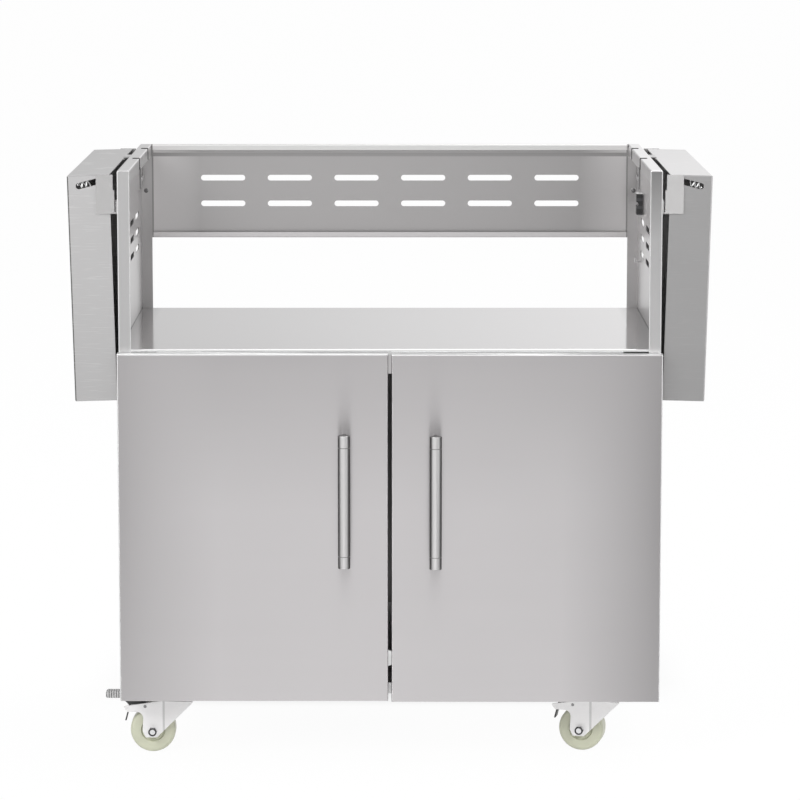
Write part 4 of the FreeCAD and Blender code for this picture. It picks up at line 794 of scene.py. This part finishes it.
class GRILLCART_OT_fittings(bpy.types.Operator):
    """Finish the clip, the magnets, the bushes and the bumpers"""
    bl_idname = "grillcart.fittings"
    bl_label = "Small fittings"

    def execute(self, context):
        finish = context.scene.grillcart_finishes
        black = moulded("black_plastic", finish.black, 0.42, 300.0, 0.12)
        rubber = moulded("soft_rubber", finish.rubber, 0.6, 420.0, 0.15)
        clip_top = float(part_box("hose_clip")[1][2])
        # Painted highlight: a pale line along the top of the clip.
        top_line = (WHOLE, WHOLE, over(clip_top - 1.3 * MM))
        clip = moulded("banded_clip", shade(finish.black, 3.2), 0.42, 300.0, 0.12, finish.edge, top_line,
                       ribs=("Z", clip_top, 13.7 * MM, 0.64))
        dress(clip, "hose_clip")
        dress(black, "door_magnets", "shelf_bushes")
        dress(rubber, "shelf_bumpers", "door_bumpers")
        return {"FINISHED"}


class GRILLCART_OT_studio(bpy.types.Operator):
    """Set the floor, the light and the camera"""
    bl_idname = "grillcart.studio"
    bl_label = "Studio"

    def execute(self, context):
        studio = context.scene.grillcart_studio
        self.add_floor(context, studio)
        self.add_cards(context)
        self.set_world(context)
        self.add_lamps(context)
        self.add_camera(context, studio)
        context.scene.view_settings.view_transform = "Standard"
        return {"FINISHED"}

    def add_floor(self, context, studio):
        """A flat square half a millimetre under the wheels, white to the camera and to reflections except
        behind the cart, where a painted shadow darkens its colour and lets its own shadow show."""
        reach = np.linspace(-40, 40, 9)
        x, y = np.meshgrid(reach, reach, indexing="ij")
        mesh = grid_mesh("floor", np.stack([x, y, np.full_like(x, FLOOR_LEVEL)], 2))
        floor = bpy.data.objects.new("floor", mesh)
        context.scene.collection.objects.link(floor)
        material = bpy.data.materials.new("floor")
        tree = Tree(material)
        seen = self.seen(tree)
        white = tree.node("ShaderNodeEmission", {}, {"Color": (1, 1, 1, 1), "Strength": 1.0})
        # Painted shadow: a soft patch behind the cart where the floor colour is darker.
        across = tree.ramp(abs(tree.along("X")), [(0.30, 0.5), (0.56, 0.0)])
        behind = tree.ramp(tree.along("Y") - 0.14, [(0.0, 0.0), (0.20, 1.0), (0.40, 1.0), (0.66, 0.0)])
        dim = across * behind
        pale = tree.blend(dim * 2.0, tuple(studio.floor), shade(studio.floor, 0.42))
        matt = tree.node("ShaderNodeBsdfDiffuse", {}, {"Color": pale})
        tree.surface(tree.node("ShaderNodeMixShader", {}, {0: seen * (0.96 - dim), 1: matt, 2: white}))
        mesh.materials.append(material)

    def add_cards(self, context):
        """Grey cards flat on the floor that only reflections see, so that the metal has darker parts."""
        for name, (x0, x1), (y0, y1), level, tone in (
            ("card_right", (0.50, 1.5), (-3.5, -0.30), 0.001, 0.12),
            ("card_far_right", (0.60, 3.5), (-4.7, -3.5), 0.001, 0.12),
            ("card_post_right", (0.66, 3.5), (-16.0, -4.7), 0.001, 0.03),
            ("card_left", (-1.4, -0.50), (-4.2, -0.30), 0.001, 0.22),
            ("card_far", (-1.0, 0.6), (-16.0, -3.5), 0.001, 0.65),
            ("card_handle_right", (1.5, 10.0), (-1.15, -0.36), 0.003, 0.02),
            ("card_handle_left", (-10.0, -1.5), (-1.15, -0.36), 0.003, 0.02),
        ):
            x, y = np.meshgrid([x0, x1], [y0, y1], indexing="ij")
            mesh = grid_mesh(name, np.stack([x, y, np.full_like(x, level)], 2))
            card = bpy.data.objects.new(name, mesh)
            context.scene.collection.objects.link(card)
            material = bpy.data.materials.new(name)
            tree = Tree(material)
            tree.surface(tree.node("ShaderNodeEmission", {}, {
                "Color": (tone, tone, tone, 1.0), "Strength": 1.0,
            }))
            mesh.materials.append(material)
            card.visible_camera = False
            card.visible_diffuse = False
            card.visible_shadow = False
            card.visible_transmission = False

    def seen(self, tree):
        """One where a camera, glossy or transmission ray looks."""
        camera = tree.node("ShaderNodeLightPath", out="Is Camera Ray")
        glossy = tree.node("ShaderNodeLightPath", out="Is Glossy Ray")
        through = tree.node("ShaderNodeLightPath", out="Is Transmission Ray")
        return (camera + glossy + through) > 0.5

    def set_world(self, context):
        """White to the camera; in reflections brighter behind the cart on the right and darker towards both
        sides."""
        world = bpy.data.worlds.new("studio")
        context.scene.world = world
        tree = Tree(world)
        direction = tree.node("ShaderNodeTexCoord", out="Generated")
        aside = tree.node("ShaderNodeSeparateXYZ", {}, {0: direction}, out="X")
        behind = tree.node("ShaderNodeSeparateXYZ", {}, {0: direction}, out="Y")
        dim = tree.ramp(abs(aside), [(0.45, 0.85), (0.90, 0.25)])
        slope = tree.ramp(aside * 0.5 + 0.5, [(0.42, 0.50), (0.58, 1.0)])
        room = tree.blend(behind > 0.0, dim, slope)
        camera = tree.node("ShaderNodeLightPath", out="Is Camera Ray")
        shown = tree.blend(camera, room, (1.0, 1.0, 1.0))
        background = tree.node("ShaderNodeBackground", {}, {"Color": shown, "Strength": 1.05})
        tree.node("ShaderNodeOutputWorld", {}, {"Surface": background})

    def add_lamps(self, context):
        """Soft lamps: where each stands, where it points, its size and its power in watts."""
        for name, place, aim, size, power in (
            ("lamp_front_left", (-3.2, -4.2, 3.6), (0.0, 0.0, 0.5), 2.2, 140.0),
            ("lamp_front_right", (3.4, -4.0, 3.2), (0.0, 0.0, 0.5), 2.0, 70.0),
            ("lamp_above", (0.8, 1.2, 4.4), (0.0, 0.0, 0.4), 3.0, 50.0),
        ):
            data = bpy.data.lights.new(name, "AREA")
            data.size = size
            data.energy = power
            lamp = bpy.data.objects.new(name, data)
            context.scene.collection.objects.link(lamp)
            lamp.location = place
            aim_at(lamp, aim)

    def add_camera(self, context, studio):
        """A camera on the middle plane in front of the cart that looks down a little."""
        data = bpy.data.cameras.new("camera")
        data.sensor_fit = "HORIZONTAL"
        data.sensor_width = 36.0
        data.lens = studio.lens
        data.shift_x = studio.offset
        data.clip_end = 200.0
        camera = bpy.data.objects.new("camera", data)
        context.scene.collection.objects.link(camera)
        camera.location = (0.0, -studio.distance, studio.height)
        camera.rotation_euler = (math.pi / 2 - studio.pitch, 0.0, 0.0)
        context.scene.camera = camera


def aim_at(thing, target):
    """Turns a lamp so that its -Z axis points at the target."""
    away = np.array(thing.location) - np.array(target)
    flat = math.hypot(away[0], away[1])
    thing.rotation_euler = (math.atan2(flat, away[2]), 0.0, math.atan2(away[0], -away[1]))


class GRILLCART_PT_panel(bpy.types.Panel):
    """Lists the steps of the grill cart"""
    bl_idname = "GRILLCART_PT_panel"
    bl_label = "Grill cart"
    bl_space_type = "VIEW_3D"
    bl_region_type = "UI"
    bl_category = "Grill cart"

    def draw(self, context):
        for step in STEPS:
            self.layout.operator(step.bl_idname)
        for group in GROUPS:
            settings = getattr(context.scene, group)
            for name in settings.__annotations__:
                self.layout.prop(settings, name)


STEPS = (
    GRILLCART_OT_carcass,
    GRILLCART_OT_doors,
    GRILLCART_OT_shelves,
    GRILLCART_OT_springs,
    GRILLCART_OT_hangers,
    GRILLCART_OT_casters,
    GRILLCART_OT_nut_rings,
    GRILLCART_OT_fittings,
    GRILLCART_OT_studio,
)
GROUPS = {
    "grillcart_finishes": GrillCartFinishes,
    "grillcart_springs": GrillCartSprings,
    "grillcart_studio": GrillCartStudio,
}


def register():
    for kind in (*GROUPS.values(), *STEPS, GRILLCART_PT_panel):
        bpy.utils.register_class(kind)
    for name, group in GROUPS.items():
        setattr(bpy.types.Scene, name, PointerProperty(type=group))


def unregister():
    for name in GROUPS:
        delattr(bpy.types.Scene, name)
    for kind in (GRILLCART_PT_panel, *reversed(STEPS), *GROUPS.values()):
        bpy.utils.unregister_class(kind)


def main():
    register()
    bpy.ops.grillcart.carcass()
    bpy.ops.grillcart.doors()
    bpy.ops.grillcart.shelves()
    bpy.ops.grillcart.springs()
    bpy.ops.grillcart.hangers()
    bpy.ops.grillcart.casters()
    bpy.ops.grillcart.nut_rings()
    bpy.ops.grillcart.fittings()
    bpy.ops.grillcart.studio()


if __name__ == "__main__":
    main()
